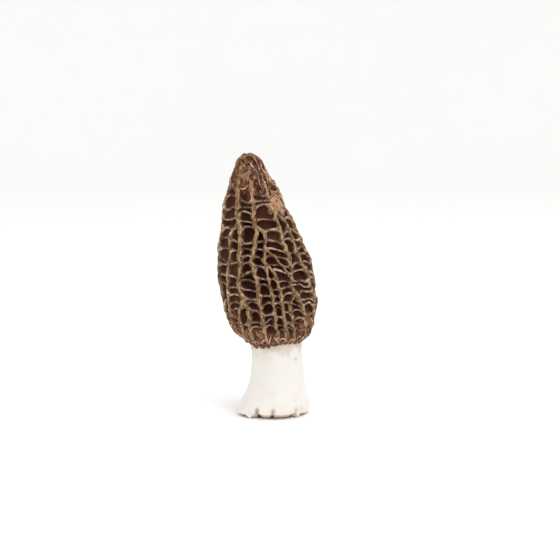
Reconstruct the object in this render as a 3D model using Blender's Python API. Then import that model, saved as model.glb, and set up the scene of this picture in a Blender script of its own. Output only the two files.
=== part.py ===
"""A fresh morel mushroom with a cut stem: a ridged, pitted cap and a pale stem, hollow right through.

Metres, +Z up. The mushroom stands on the cut foot of its stem, and the middle of its footprint is the origin.
Angles round the mushroom are in degrees: 0 faces the front (-Y) and 90 is its right side (+X).
"""

import math
import random
from collections import namedtuple

import bmesh
import bpy
import numpy as np

MM = 0.001
SEED = 7

# The crest of the cap's ridges, from its lower rim to its tip: (radius, height) in millimetres.
CAP_OUTLINE = (
    (12.7, 31.4),
    (15.9, 34.4),
    (18.4, 39.2),
    (19.9, 45.6),
    (20.5, 54.0),
    (19.9, 63.0),
    (18.0, 73.0),
    (15.1, 83.5),
    (11.3, 94.0),
    (8.1, 101.6),
    (5.5, 107.0),
    (2.9, 109.8),
    (0.0, 110.5),
)

# The stem's outside, from its foot to the joint under the cap.
STEM_OUTLINE = (
    (13.4, 0.0),
    (14.5, 0.9),
    (14.5, 3.6),
    (13.3, 8.6),
    (11.9, 14.0),
    (11.1, 20.0),
    (10.7, 26.5),
    (11.1, 30.5),
    (11.2, 32.7),
)

# The one hollow inside stem and cap, which opens at the foot.
HOLLOW_OUTLINE = (
    (11.6, -3.0),
    (11.3, 1.0),
    (9.6, 9.0),
    (8.3, 18.0),
    (7.9, 27.0),
    (8.6, 34.0),
    (11.4, 41.0),
    (13.1, 50.0),
    (13.0, 62.0),
    (11.2, 75.0),
    (8.0, 87.0),
    (3.8, 97.0),
    (0.0, 99.5),
)

# The cap leans to the left as it rises, most in its middle, and the stem bows a little to the right.
LEAN_FROM = 25.0
LEAN_LENGTH = 100.0
LEAN = 10.6
STEM_BOW = 1.7
STEM_BOW_TOP = 40.0
FOOTPRINT_SHIFT = 2.05

# The net of ridges. Its places along the cap are whole levels, counted up the crest from the rim.
LEVEL = 1.0
TIP_LEVELS = 3
MIDDLE_HEIGHT = 60.0
RIDGE_HALF_WIDTH = 0.80
RUNG_HALF_WIDTH = 0.42
WALL_SLOPE = 0.45
RIM_SHARE = 0.28
FLOOR_SHARE = 0.36
CREST_ROUNDING = 0.20
CREST_WAVE = 0.45
BRANCH_DROP = 0.35
RUNG_DIP = 1.3
RIM_DIP_SHARE = 0.4
RUNG_ARCH = 0.9
RUNG_GAP = (3.9, 6.1)
FIRST_GAP_SHARE = 0.75
LEAST_RUNG_GAP = 3
RUNG_TILT = 1.5
RIDGE_WOBBLE = 1.5
BRANCH_BEND = 7.0
NARROW_PIT = 3.2
LEAST_WIDTH = 0.01
PIT_VARIATION = (0.85, 1.1)

# The irregular wave of the ridges: its lengths in levels, and the share of each.
WAVE_LENGTHS = (31.0, 17.0, 9.5)
WAVE_SHARES = (0.45, 0.35, 0.30)

# How deep the pits are, at shares of the way from the cap's rim to its tip.
PIT_DEPTH_AT = (0.0, 0.10, 0.25, 0.60, 0.85, 1.0)
PIT_DEPTH = (1.3, 3.2, 4.4, 4.3, 2.6, 1.0)

# The cap's rim hangs a little below the joint, round the top of the stem, and lowest at its front left.
JOINT_HEIGHT = 33.0
SOCKET_RADIUS = 11.9
DROOP = 1.7
DROOP_ANGLE = -34.0
DROOP_SPREAD = 26.0
DROOP_LEVELS = 9

# Folds of the stem: (waves round it, share of the radius, turn in degrees), and their growth towards the foot.
STEM_FOLDS = ((2, 0.022, 20.0), (3, 0.020, 75.0), (5, 0.026, 10.0), (7, 0.014, 40.0))
FOLD_AT_TOP = 0.35
FOOT_FLARE = 1.2
FOOT_FLARE_HEIGHT = 9.0
STEM_SIDES = 44
HOLLOW_SIDES = 24
WELD = 0.001
CREASE_ANGLE = 50.0

# A ridge's angle at each of these heights, and for a branch the height where it leaves its host ridge.
KNOT_HEIGHTS = (35.0, 47.0, 57.0, 68.0, 78.0, 89.0, 103.0)
Ridge = namedtuple("Ridge", "angles branch_height host", defaults=(None, None))
RIDGES = (
    Ridge((-76, -79, -80, -78, -77, -72, -70)),
    Ridge((-62, -60, -57, -47, -46), 84.0, 3),
    Ridge((-47, -41), 52.0, 3),
    Ridge((-31, -27, -36, -29, -28, -34, -35)),
    Ridge((-10, -10, -11, -13, -4, -2, 2)),
    Ridge((8, 6, 4, 4, 10), 84.0, 4),
    Ridge((20, 18, 14), 67.0, 5),
    Ridge((32, 28), 56.0, 8),
    Ridge((56, 45, 32, 36, 35, 37, 38)),
    Ridge((78, 72, 67, 57, 54), 88.0, 8),
    Ridge((103, 98, 94, 88, 80, 78, 76)),
    Ridge((119, 115, 111, 106), 77.0, 10),
    Ridge((135, 132, 130, 127, 126, 122, 118)),
    Ridge((151, 149, 147, 142, 138), 85.0, 12),
    Ridge((168, 166, 164, 166, 163, 160, 158)),
    Ridge((185, 183, 181, 178), 72.0, 14),
    Ridge((202, 202, 203, 200, 199, 201, 200)),
    Ridge((219, 221, 220, 217, 213), 86.0, 16),
    Ridge((238, 239, 240, 242, 241, 243, 244)),
    Ridge((262, 262, 260, 256), 74.0, 18),
)

# Where cross ridges join the left and the right ridge of a column, for the columns at the front.
RUNG_HEIGHTS = {
    0: (
        (36, 36),
        (42, 42),
        (48, 48),
        (55, 55),
        (61, 59),
        (67, 66),
        (73, 72),
        (79, 82),
        (86, 88),
        (92, 92),
        (97, 97),
        (102, 102),
    ),
    1: ((36, 36), (40, 40), (44, 45), (48, 48), (54, 54), (60, 57), (65, 63), (70, 70), (76, 76)),
    2: ((36, 36), (40, 41), (45, 46)),
    3: (
        (36, 36),
        (41, 40),
        (46, 45),
        (51, 52),
        (57, 57),
        (61, 62),
        (68, 67),
        (74, 76),
        (80, 81),
        (85, 85),
        (93, 91),
        (98, 98),
        (103, 103),
    ),
    4: ((36, 36), (40, 41), (44, 45), (48, 49), (56, 55), (60, 59), (64, 63), (69, 68), (74, 74), (79, 79)),
    5: ((36, 36), (43, 43), (50, 50), (56, 55)),
    6: (
        (37, 37),
        (42, 41),
        (48, 49),
        (56, 56),
        (61, 60),
        (66, 63),
        (71, 67),
        (76, 72),
        (80, 77),
        (84, 83),
        (88, 87),
        (92, 91),
        (97, 96),
        (102, 102),
    ),
    7: ((36, 36), (42, 42), (48, 47)),
    8: ((36, 35), (41, 40), (46, 46), (52, 52), (59, 58), (63, 65), (68, 70), (73, 75), (78, 80), (83, 84)),
}

SKIN_BROWN = (0.098, 0.055, 0.036, 1.0)
SKIN_ROUGHNESS = 0.6
STEM_CREAM = (0.83, 0.77, 0.69, 1.0)
STEM_ROUGHNESS = 0.5


def smooth_outline(points, steps=24):
    """Radii and heights along a smooth curve through the points."""
    knots = np.array(points, float)
    before = np.vstack([2 * knots[0] - knots[1], knots[:-1]])
    after = np.vstack([knots[1:], 2 * knots[-1] - knots[-2]])
    tangents = (after - before) / 2
    rows = []
    for k in range(len(knots) - 1):
        for step in range(steps):
            t = step / steps
            rows.append(
                (2 * t**3 - 3 * t**2 + 1) * knots[k]
                + (t**3 - 2 * t**2 + t) * tangents[k]
                + (3 * t**2 - 2 * t**3) * knots[k + 1]
                + (t**3 - t**2) * tangents[k + 1]
            )
    rows.append(knots[-1])
    return np.array(rows)


CREST = smooth_outline(CAP_OUTLINE)
ALONG = np.concatenate([[0.0], np.cumsum(np.hypot(*np.diff(CREST, axis=0).T))])
CREST_LENGTH = float(ALONG[-1])
TOP_LEVEL = round(CREST_LENGTH / LEVEL) - TIP_LEVELS


def axis_offset(height):
    """How far the mushroom's middle line stands to the right at a height."""
    bow = STEM_BOW * math.sin(math.pi * min(max(height, 0.0), STEM_BOW_TOP) / STEM_BOW_TOP)
    lean = LEAN * (1 - math.cos(math.pi * max(height - LEAN_FROM, 0.0) / LEAN_LENGTH)) / 2
    return FOOTPRINT_SHIFT + bow - lean


def placed(angle, radius, height):
    """The point at this angle and radius round the middle line, in metres."""
    turn = math.radians(angle)
    across = axis_offset(height) + radius * math.sin(turn)
    return (across * MM, -radius * math.cos(turn) * MM, height * MM)


def droop(angle, level):
    """How far the cap's rim hangs down at this angle, less and less up to a few levels above it."""
    turn = (angle - DROOP_ANGLE + 180.0) % 360.0 - 180.0
    return DROOP * math.exp(-((turn / DROOP_SPREAD) ** 2)) * max(0.0, 1 - level / DROOP_LEVELS) ** 2


def level_at(height):
    """The whole level at which the crest reaches a height."""
    return round(float(np.interp(height, CREST[:, 1], ALONG)) / LEVEL)


def crest_point(angle, level, rise):
    """A point of the cap, rise millimetres outside the crest's surface."""
    along = level * LEVEL
    radius = float(np.interp(along, ALONG, CREST[:, 0]))
    height = float(np.interp(along, ALONG, CREST[:, 1]))
    behind = [float(np.interp(along - LEVEL, ALONG, CREST[:, k])) for k in (0, 1)]
    ahead = [float(np.interp(along + LEVEL, ALONG, CREST[:, k])) for k in (0, 1)]
    run = (ahead[0] - behind[0], ahead[1] - behind[1])
    size = math.hypot(*run)
    outward = (run[1] / size, -run[0] / size)
    height += rise * outward[1] - droop(angle, level)
    return placed(angle, max(radius + rise * outward[0], 0.0), height)


def wave(place, seed):
    """A smooth irregular wave between about -1 and 1."""
    phases = random.Random(seed)
    return sum(
        share * math.sin(math.tau * (place / length + phases.random()))
        for length, share in zip(WAVE_LENGTHS, WAVE_SHARES)
    )


def branch_level(index):
    """The level where a ridge leaves its host, or the top level for a ridge that reaches the tip."""
    ridge = RIDGES[index]
    return TOP_LEVEL if ridge.host is None else level_at(ridge.branch_height)


def carrier(index, level):
    """The ridge that this one's line runs on at a level: itself, or its host above the branch."""
    while RIDGES[index].host is not None and level >= branch_level(index):
        index = RIDGES[index].host
    return index


def line_angle(index, level):
    """The angle of a ridge's line at a level, which may lie between two levels."""
    turns, index = divmod(index, len(RIDGES))
    ridge = RIDGES[index]
    if ridge.host is not None and level >= branch_level(index):
        return 360.0 * turns + line_angle(ridge.host, level)
    height = float(np.interp(level * LEVEL, ALONG, CREST[:, 1]))
    knots = KNOT_HEIGHTS[: len(ridge.angles)]
    own = float(np.interp(height, knots, ridge.angles))
    own += RIDGE_WOBBLE * wave(level, SEED + index)
    if ridge.host is not None:
        near = 1 - (branch_level(index) - level) * LEVEL / BRANCH_BEND
        if near > 0:
            blend = near * near * (3 - 2 * near)
            own += blend * (line_angle(ridge.host, level) - own)
    return 360.0 * turns + own


def column_top(column):
    """The level where a column of pits ends, and whether its two ridges meet there."""
    for level in range(TOP_LEVEL):
        if carrier(column, level) == carrier((column + 1) % len(RIDGES), level):
            return level, True
    return TOP_LEVEL, False


def lerp(start, end, share):
    return start + (end - start) * share


def radius_at(level):
    return float(np.interp(level * LEVEL, ALONG, CREST[:, 0]))


def pit_depth(level):
    return float(np.interp(level * LEVEL / CREST_LENGTH, PIT_DEPTH_AT, PIT_DEPTH))


def pit_width(column, level):
    """The distance between a column's two ridge lines at a level, in millimetres."""
    spread = line_angle(column + 1, level) - line_angle(column, level)
    return math.radians(max(spread, 0.0)) * radius_at(level)


class RidgeNet:
    """The net of ridges over the cap, as one face for each pit, bounded by the crests round it."""

    def __init__(self):
        self.mesh = bmesh.new()
        self.vertices = {}
        self.marks = {index: {0, TOP_LEVEL} for index in range(len(RIDGES))}
        for index, ridge in enumerate(RIDGES):
            if ridge.host is not None:
                level = branch_level(index)
                self.marks[carrier(index, level)].add(level)
        self.rungs = [self.rungs_of(column) for column in range(len(RIDGES))]

    def snapped(self, index, level):
        """The level itself, or that of a crossing one level away on the same ridge."""
        index %= len(RIDGES)
        marks = self.marks[carrier(index, level)]
        for near in (level, level - 1, level + 1):
            if near in marks and carrier(index, near) == carrier(index, level) and near > 0:
                level = near
                break
        self.marks[carrier(index, level)].add(level)
        return level

    def rungs_of(self, column):
        """The cross ridges of a column, as pairs of levels on its left and right ridge."""
        top, _ = column_top(column)
        wanted = [tuple(level_at(height) for height in pair) for pair in RUNG_HEIGHTS.get(column, ())]
        if not wanted:
            draw = random.Random(SEED * 100 + column)
            middle = draw.uniform(*RUNG_GAP) * FIRST_GAP_SHARE
            while middle < top:
                tilt = draw.uniform(-RUNG_TILT, RUNG_TILT)
                wanted.append((round(middle - tilt), round(middle + tilt)))
                middle += draw.uniform(*RUNG_GAP)
        rungs = [(0, 0)]
        for left, right in wanted:
            left = max(left, rungs[-1][0] + LEAST_RUNG_GAP)
            right = max(right, rungs[-1][1] + LEAST_RUNG_GAP)
            if max(left, right) <= top - LEAST_RUNG_GAP:
                rungs.append((self.snapped(column, left), self.snapped(column + 1, right)))
        return rungs

    def ridge_vertex(self, index, level):
        """The vertex on a ridge's crest at a level, shared by the pits on both its sides."""
        index = carrier(index % len(RIDGES), level)
        key = ("ridge", index, level)
        if key not in self.vertices:
            rise = CREST_WAVE * wave(level, SEED * 3 + index)
            if RIDGES[index].host is not None:
                rise -= BRANCH_DROP
            point = crest_point(line_angle(index, level), level, rise)
            self.vertices[key] = self.mesh.verts.new(point)
        return self.vertices[key]

    def rung_dip(self, column, number):
        """How far the middle of a cross ridge lies below the ridges that it joins."""
        level = sum(self.rungs[column][number]) / 2
        share = min(1.0, pit_width(column, level) / NARROW_PIT)
        return RUNG_DIP * share * (RIM_DIP_SHARE if number == 0 else 1.0)

    def rung_vertex(self, column, number):
        """The middle of a cross ridge, which dips in and arches up between the ridges that it joins."""
        key = ("rung", column, number)
        if key not in self.vertices:
            level = sum(self.rungs[column][number]) / 2
            angle = (line_angle(column, level) + line_angle(column + 1, level)) / 2
            arch = 0.0 if number == 0 else RUNG_ARCH
            point = crest_point(angle, level + arch, -self.rung_dip(column, number))
            self.vertices[key] = self.mesh.verts.new(point)
        return self.vertices[key]

    def side(self, index, low, high, across):
        """(vertex, share across, share up, dip) at each crossing on one side of a pit, ends included."""
        found = []
        for level in range(low, high + 1):
            at = carrier(index % len(RIDGES), level)
            if level in self.marks[at] or level in (low, high):
                found.append((self.ridge_vertex(index, level), across, (level - low) / (high - low), 0.0))
        return found

    def pits_of(self, column):
        """Makes the pits of a column, from the rim upwards."""
        top, meets = column_top(column)
        rungs = self.rungs[column] + [(top, top)]
        for number in range(len(rungs) - 1):
            low, high = rungs[number], rungs[number + 1]
            last = number == len(rungs) - 2
            left = self.side(column, low[0], high[0], 0.0)
            right = self.side(column + 1, low[1], high[1], 1.0)
            if last and meets:
                left.pop()
                right[-1] = (right[-1][0], 0.5, 1.0, 0.0)
            below = (self.rung_vertex(column, number), 0.5, 0.0, self.rung_dip(column, number))
            corners = [left[0], below, *right]
            if not last:
                dip = self.rung_dip(column, number + 1)
                corners.append((self.rung_vertex(column, number + 1), 0.5, 1.0, dip))
            corners += left[:0:-1]
            face = self.mesh.faces.new([corner[0] for corner in corners])
            arches = (0.0 if number == 0 else RUNG_ARCH, 0.0 if last else RUNG_ARCH)
            self.sink(face, [corner[1:] for corner in corners], column, low, high, arches)

    def sink(self, face, shares, column, low, high, arches):
        """Turns a pit's face into a rounded rim, a wall and a floor."""
        draw = random.Random(SEED * 1000 + column * 50 + low[0])
        middle = (sum(low) + sum(high)) / 4
        narrow = min(1.0, pit_width(column, middle) / NARROW_PIT)
        deepness = draw.uniform(*PIT_VARIATION) * narrow
        tall = (sum(high) - sum(low)) / 2 * LEVEL
        for wall, most in ((0.0, RIM_SHARE), (WALL_SLOPE, FLOOR_SHARE)):
            face = bmesh.ops.extrude_discrete_faces(self.mesh, faces=[face])["faces"][0]
            for vertex, (across, up, dip) in zip(face.verts, shares):
                margin = min(most, (RUNG_HALF_WIDTH + wall) / tall)
                up = lerp(margin, 1 - margin, up)
                level = lerp(lerp(*low, across), lerp(*high, across), up)
                margin = min(most, (RIDGE_HALF_WIDTH + wall) / max(pit_width(column, level), LEAST_WIDTH))
                across = lerp(margin, 1 - margin, across)
                angle = lerp(line_angle(column, level), line_angle(column + 1, level), across)
                depth = pit_depth(level) * deepness if wall else CREST_ROUNDING + dip
                level += lerp(*arches, up) * 4 * across * (1 - across)
                vertex.co = crest_point(angle, level, -depth)


def close_cap(net):
    """Closes the net at the tip and makes the flat-bottomed socket that sits on the stem."""
    mesh = net.mesh
    open_edges = [edge for edge in mesh.edges if edge.is_boundary]
    rim = [edge for edge in open_edges if edge.verts[0].co.z < MIDDLE_HEIGHT * MM]
    tip = [edge for edge in open_edges if edge not in rim]
    knob = bmesh.ops.contextual_create(mesh, geom=tip)["faces"]
    made = bmesh.ops.poke(mesh, faces=knob)
    made["verts"][0].co = placed(0.0, 0.0, CAP_OUTLINE[-1][1])
    made = bmesh.ops.extrude_edge_only(mesh, edges=rim)
    middle = axis_offset(JOINT_HEIGHT) * MM
    for vertex in [item for item in made["geom"] if isinstance(item, bmesh.types.BMVert)]:
        turn = math.degrees(math.atan2(vertex.co.x - middle, -vertex.co.y))
        vertex.co = placed(turn, SOCKET_RADIUS, JOINT_HEIGHT)
    ring = [item for item in made["geom"] if isinstance(item, bmesh.types.BMEdge) and item.is_boundary]
    bmesh.ops.contextual_create(mesh, geom=ring)


def turned(name, outline, sides, collection, shape=lambda angle, radius, height: (radius, height)):
    """A solid turned from an outline and bent along the middle line. shape moves a point of its surface."""
    mesh = bmesh.new()
    verts = [mesh.verts.new((radius, 0.0, height)) for radius, height in outline]
    edges = [mesh.edges.new(pair) for pair in zip(verts, verts[1:])]
    bmesh.ops.spin(
        mesh,
        geom=verts + edges,
        axis=(0, 0, 1),
        cent=(0, 0, 0),
        angle=math.tau,
        steps=sides,
        use_merge=True,
    )
    bmesh.ops.remove_doubles(mesh, verts=mesh.verts, dist=WELD)
    bmesh.ops.holes_fill(mesh, edges=mesh.edges, sides=0)
    for vertex in mesh.verts:
        angle = math.degrees(math.atan2(vertex.co.x, -vertex.co.y))
        radius, height = shape(angle, math.hypot(vertex.co.x, vertex.co.y), vertex.co.z)
        vertex.co = placed(angle, radius, height)
    bmesh.ops.recalc_face_normals(mesh, faces=mesh.faces)
    return finished(name, mesh, collection)


def stem_shape(angle, radius, height):
    """Folds the stem's outside, more so towards its foot, and flares the foot to the left."""
    up = height / STEM_OUTLINE[-1][1]
    growth = FOLD_AT_TOP + (1 - FOLD_AT_TOP) * (1 - up) ** 2
    if up >= 1:
        growth = 0.0
    folds = sum(share * math.cos(waves * math.radians(angle - turn)) for waves, share, turn in STEM_FOLDS)
    flare = FOOT_FLARE * max(0.0, 1 - height / FOOT_FLARE_HEIGHT) * max(0.0, -math.sin(math.radians(angle)))
    return radius * (1 + growth * folds) + flare, height


def finished(name, mesh, collection):
    """An object of this mesh in a collection, which takes the mesh over."""
    data = bpy.data.meshes.new(name)
    mesh.to_mesh(data)
    mesh.free()
    thing = bpy.data.objects.new(name, data)
    collection.objects.link(thing)
    return thing


def skin(name, colour, roughness):
    """A plain matt material of one colour."""
    material = bpy.data.materials.new(name)
    material.use_nodes = True
    shader = material.node_tree.nodes["Principled BSDF"]
    shader.inputs["Base Color"].default_value = colour
    shader.inputs["Roughness"].default_value = roughness
    shader.inputs["Metallic"].default_value = 0.0
    return material


def new_collection(name):
    collection = bpy.data.collections.new(name)
    bpy.context.scene.collection.children.link(collection)
    return collection


def hollowed(thing, cutter):
    """Cuts the hollow out of a piece."""
    cut = thing.modifiers.new("hollow", "BOOLEAN")
    cut.operation = "DIFFERENCE"
    cut.solver = "EXACT"
    cut.object = cutter


def build():
    for old in list(bpy.data.objects):
        bpy.data.objects.remove(old)
    mushroom = new_collection("morel")
    cutters = new_collection("cutters")

    hollow = turned("hollow", HOLLOW_OUTLINE, HOLLOW_SIDES, cutters)
    hollow.hide_render = True
    hollow.display_type = "WIRE"

    net = RidgeNet()
    for column in range(len(RIDGES)):
        net.pits_of(column)
    close_cap(net)
    bmesh.ops.recalc_face_normals(net.mesh, faces=net.mesh.faces)
    cap = finished("cap", net.mesh, mushroom)
    cap.data.materials.append(skin("cap_skin", SKIN_BROWN, SKIN_ROUGHNESS))
    hollowed(cap, hollow)

    stem = turned("stem", STEM_OUTLINE, STEM_SIDES, mushroom, stem_shape)
    stem.data.materials.append(skin("stem_skin", STEM_CREAM, STEM_ROUGHNESS))
    stem.data.shade_smooth()
    stem.data.set_sharp_from_angle(angle=math.radians(CREASE_ANGLE))
    hollowed(stem, hollow)


build()
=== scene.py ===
"""The looks of a fresh morel mushroom: its ridged cap, its cream stem and a plain pale studio.

A place on the cap is an angle in degrees, 0 at the front (-Y) and 90 at the right (+X), and a level, which
counts the millimetres up the crests of the ridges from the cap's rim. Sizes are millimetres until a mesh is
made, and points are rows of x, y and z in metres.
"""

import logging
import math
import random
from dataclasses import dataclass, field
from enum import Enum

import bmesh
import bpy
import numpy as np
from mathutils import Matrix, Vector


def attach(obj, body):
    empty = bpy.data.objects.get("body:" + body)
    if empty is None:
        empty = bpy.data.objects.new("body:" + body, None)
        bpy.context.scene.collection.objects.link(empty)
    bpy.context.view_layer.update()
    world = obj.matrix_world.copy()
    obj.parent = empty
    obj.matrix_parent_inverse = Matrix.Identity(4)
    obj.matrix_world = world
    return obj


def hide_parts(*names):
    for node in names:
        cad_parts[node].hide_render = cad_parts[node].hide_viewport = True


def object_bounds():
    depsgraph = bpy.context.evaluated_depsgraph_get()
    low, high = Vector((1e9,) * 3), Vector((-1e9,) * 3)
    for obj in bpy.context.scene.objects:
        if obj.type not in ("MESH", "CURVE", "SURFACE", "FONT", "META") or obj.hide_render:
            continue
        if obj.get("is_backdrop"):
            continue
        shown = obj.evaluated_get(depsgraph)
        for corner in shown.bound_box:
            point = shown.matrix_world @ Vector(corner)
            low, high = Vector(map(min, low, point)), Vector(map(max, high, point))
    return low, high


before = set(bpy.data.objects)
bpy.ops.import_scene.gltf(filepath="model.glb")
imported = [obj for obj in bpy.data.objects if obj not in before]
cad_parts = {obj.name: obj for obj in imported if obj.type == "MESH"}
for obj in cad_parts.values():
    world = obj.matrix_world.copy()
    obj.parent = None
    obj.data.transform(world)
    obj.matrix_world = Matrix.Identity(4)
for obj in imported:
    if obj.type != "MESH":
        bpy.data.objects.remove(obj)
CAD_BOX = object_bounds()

Array = np.ndarray
Colour = tuple[int, int, int]
Pair = tuple[float, float]
Triple = tuple[float, float, float]
Knots = tuple[Pair, ...]
Socket = bpy.types.NodeSocket
Thing = bpy.types.Object
Material = bpy.types.Material

MM = 0.001
SEED = 7
DEEPEST = 4.4
WAVES = ((31.0, 0.45), (17.0, 0.35), (9.5, 0.30))
DRIFTS = ((9.0, 0.5), (5.2, 0.3), (3.1, 0.2), (1.8, 0.13))
DRIFT_REACH = 0.27
LOG = logging.getLogger("morel")


def linear(colour: Colour) -> tuple[float, ...]:
    """Turns red, green and blue from 0 to 255 into the opaque colour that a shader takes."""
    shares = [value / 255 for value in colour]
    return (*(part / 12.92 if part <= 0.04045 else ((part + 0.055) / 1.055) ** 2.4 for part in shares), 1.0)


def lerp(start: Array | float, end: Array | float, share: Array | float) -> Array | float:
    """Gives the value at a share of the way from start to end."""
    return start + (end - start) * share


def eased(share: Array) -> Array:
    """Lets a share from 0 to 1 start and end gently."""
    return share * share * (3 - 2 * share)


def bell(away: Array | float, reach: float) -> Array | float:
    """Gives 1 where away is 0, and fades to nothing beyond about twice the reach."""
    return np.exp(-((away / reach) ** 2))


def turned(angle: Array, start: float) -> Array:
    """Gives how far an angle is from another one, between -180 and 180 degrees."""
    return (angle - start + 180.0) % 360.0 - 180.0


def smooth_outline(points: Knots, steps: int = 24) -> Array:
    """Lays a smooth curve through the points of an outline.

    Args:
        points: the points, such as radius and height.
        steps: how many places are made from each point to the next.

    Returns:
        The rows of the curve.
    """
    knots = np.array(points, float)
    before = np.vstack([2 * knots[0] - knots[1], knots[:-1]])
    after = np.vstack([knots[1:], 2 * knots[-1] - knots[-2]])
    tangents = (after - before) / 2
    rows = []
    for k in range(len(knots) - 1):
        for t in np.arange(steps) / steps:
            start = (2 * t**3 - 3 * t**2 + 1) * knots[k] + (t**3 - 2 * t**2 + t) * tangents[k]
            rows.append(start + (3 * t**2 - 2 * t**3) * knots[k + 1] + (t**3 - t**2) * tangents[k + 1])
    return np.array([*rows, knots[-1]])


def radius_at(outline: Knots, height: Array | float) -> Array:
    """Gives the radius of an outline of (radius, height) points at a height."""
    radii, heights = zip(*outline)
    return np.interp(height, heights, radii)


def wave(place: Array, seed: int) -> Array:
    """Gives a smooth irregular wave between about -1 and 1.

    Args:
        place: where on the wave, in levels.
        seed: which wave.

    Returns:
        The wave's height at each place.
    """
    phases = random.Random(seed)
    total = np.zeros_like(np.asarray(place, float))
    for length, share in WAVES:
        total = total + share * np.sin(math.tau * (place / length + phases.random()))
    return total


def wobbled(points: Array) -> Array:
    """Shifts points as the flesh grew, by a slow irregular drift that neighbours share.

    Args:
        points: the points.

    Returns:
        The shifted points.
    """
    draw = np.random.default_rng(SEED)
    place = points / MM
    drift = np.zeros_like(place)
    for length, share in DRIFTS:
        for _ in range(3):
            heading = draw.normal(size=3)
            heading = heading / np.linalg.norm(heading) * math.tau / length
            push = draw.normal(size=3)
            drift += share * np.sin(place @ heading + draw.uniform(0, math.tau))[:, None] * push
    return points + drift * DRIFT_REACH * MM


@dataclass(frozen=True)
class MiddleLine:
    """The line up the middle of the mushroom: the stem bows to the right and the cap leans to the left.

    Attributes are millimetres: where the lean starts, over what height it grows, how far it goes, how far the
    stem bows, the height where its bow ends, and where the line stands at the foot.
    """

    lean_from: float = 25.0
    lean_length: float = 100.0
    lean: float = 10.6
    bow: float = 1.7
    bow_top: float = 40.0
    foot: float = 2.05

    def offset(self, height: Array | float) -> Array | float:
        """Gives how far the line stands to the right at a height."""
        bow = self.bow * np.sin(np.pi * np.clip(height, 0.0, self.bow_top) / self.bow_top)
        rise = np.maximum(np.asarray(height) - self.lean_from, 0.0) / self.lean_length
        return self.foot + bow - self.lean * (1 - np.cos(np.pi * rise)) / 2

    def placed(self, angle: Array, radius: Array, height: Array) -> Array:
        """Gives points round the line.

        Args:
            angle: degrees round the line.
            radius: millimetres from the line.
            height: millimetres above the foot.

        Returns:
            The points.
        """
        turn = np.radians(angle)
        across = self.offset(height) + radius * np.sin(turn)
        back = -radius * np.cos(turn)
        return np.stack(np.broadcast_arrays(across, back, height), axis=-1) * MM


@dataclass
class CrestSurface:
    """The smooth surface that the crests of the cap's ridges lie on, and how deep the pits sink below it.

    outline is rows of (radius, height). The rim droops round one angle, over some degrees and levels.
    """

    line: MiddleLine
    outline: Knots = (
        *((12.7, 31.4), (15.9, 34.4), (18.4, 39.2), (19.9, 45.6), (20.5, 54.0), (19.9, 63.0), (18.0, 73.0)),
        *((15.1, 83.5), (11.3, 94.0), (8.1, 101.6), (5.5, 107.0), (2.9, 109.8), (0.0, 110.5)),
    )
    droop_depth: float = 1.7
    droop_angle: float = -34.0
    droop_spread: float = 26.0
    droop_levels: int = 9
    tip_levels: int = 3
    pit_places: tuple[float, ...] = (0.0, 0.10, 0.25, 0.60, 0.85, 1.0)
    pit_depths: tuple[float, ...] = (1.3, 3.2, 4.4, 4.3, 2.6, 1.0)
    rows: Array = field(init=False)
    along: Array = field(init=False)
    length: float = field(init=False)
    top: int = field(init=False)

    def __post_init__(self) -> None:
        """Measures the way up the outline."""
        self.rows = smooth_outline(self.outline)
        self.along = np.concatenate([[0.0], np.cumsum(np.hypot(*np.diff(self.rows, axis=0).T))])
        self.length = float(self.along[-1])
        self.top = round(self.length) - self.tip_levels

    def radius(self, level: Array) -> Array:
        """Gives the surface's radius at a level."""
        return np.interp(level, self.along, self.rows[:, 0])

    def height(self, level: Array) -> Array:
        """Gives the surface's height at a level."""
        return np.interp(level, self.along, self.rows[:, 1])

    def level_at(self, height: float) -> int:
        """Gives the whole level at a height."""
        return round(float(np.interp(height, self.rows[:, 1], self.along)))

    def pit_depth(self, level: Array) -> Array:
        """Gives how deep a full pit is at a level."""
        return np.interp(level / self.length, self.pit_places, self.pit_depths)

    def point(self, angle: Array, level: Array, rise: Array | float) -> Array:
        """Gives points on or near the surface.

        Args:
            angle: degrees round the cap.
            level: millimetres up from the rim.
            rise: millimetres outside the surface.

        Returns:
            The points.
        """
        run_out = self.radius(level + 1) - self.radius(level - 1)
        run_up = self.height(level + 1) - self.height(level - 1)
        size = np.hypot(run_out, run_up)
        fade = np.maximum(0.0, 1 - level / self.droop_levels) ** 2
        hang = self.droop_depth * bell(turned(angle, self.droop_angle), self.droop_spread) * fade
        height = self.height(level) - rise * run_out / size - hang
        radius = np.maximum(self.radius(level) + rise * run_up / size, 0.0)
        return self.line.placed(angle, radius, height)

    def outward(self, angle: Array, level: Array) -> Array:
        """Gives the direction straight out of the surface."""
        step = self.point(angle, level, 1.0) - self.point(angle, level, 0.0)
        return step / np.maximum(np.linalg.norm(step, axis=-1, keepdims=True), 1e-9)


class CrossKind(Enum):
    """What a cross ridge is: its name, its half width and its arch between the ridges, in millimetres."""

    RIM = ("rim", 0.42, 0.0)
    RUNG = ("rung", 0.25, 1.3)
    SEPTUM = ("septum", 0.17, 1.1)
    TOP = ("top", 0.42, 0.0)
    MEET = ("meet", 0.0, 0.0)

    @property
    def half_width(self) -> float:
        """Half the width of its crest."""
        return self.value[1]

    @property
    def arch(self) -> float:
        """How high it usually arches."""
        return self.value[2]


@dataclass(frozen=True)
class Crossing:
    """A cross ridge of one column: the levels where it joins the ridges, its arch and how that leans."""

    left: int
    right: int
    kind: CrossKind
    arch: float = 0.0
    lean: float = 0.0

    @property
    def middle(self) -> float:
        """The level halfway between its ends."""
        return (self.left + self.right) / 2

    def level(self, across: Array | float) -> Array | float:
        """Gives its level at a share of the way across the column."""
        bow = self.arch * np.maximum(4 * across * (1 - across), 0.0) ** 0.75
        return lerp(self.left, self.right, across) + bow * (1 + self.lean * (2 * across - 1))


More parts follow.
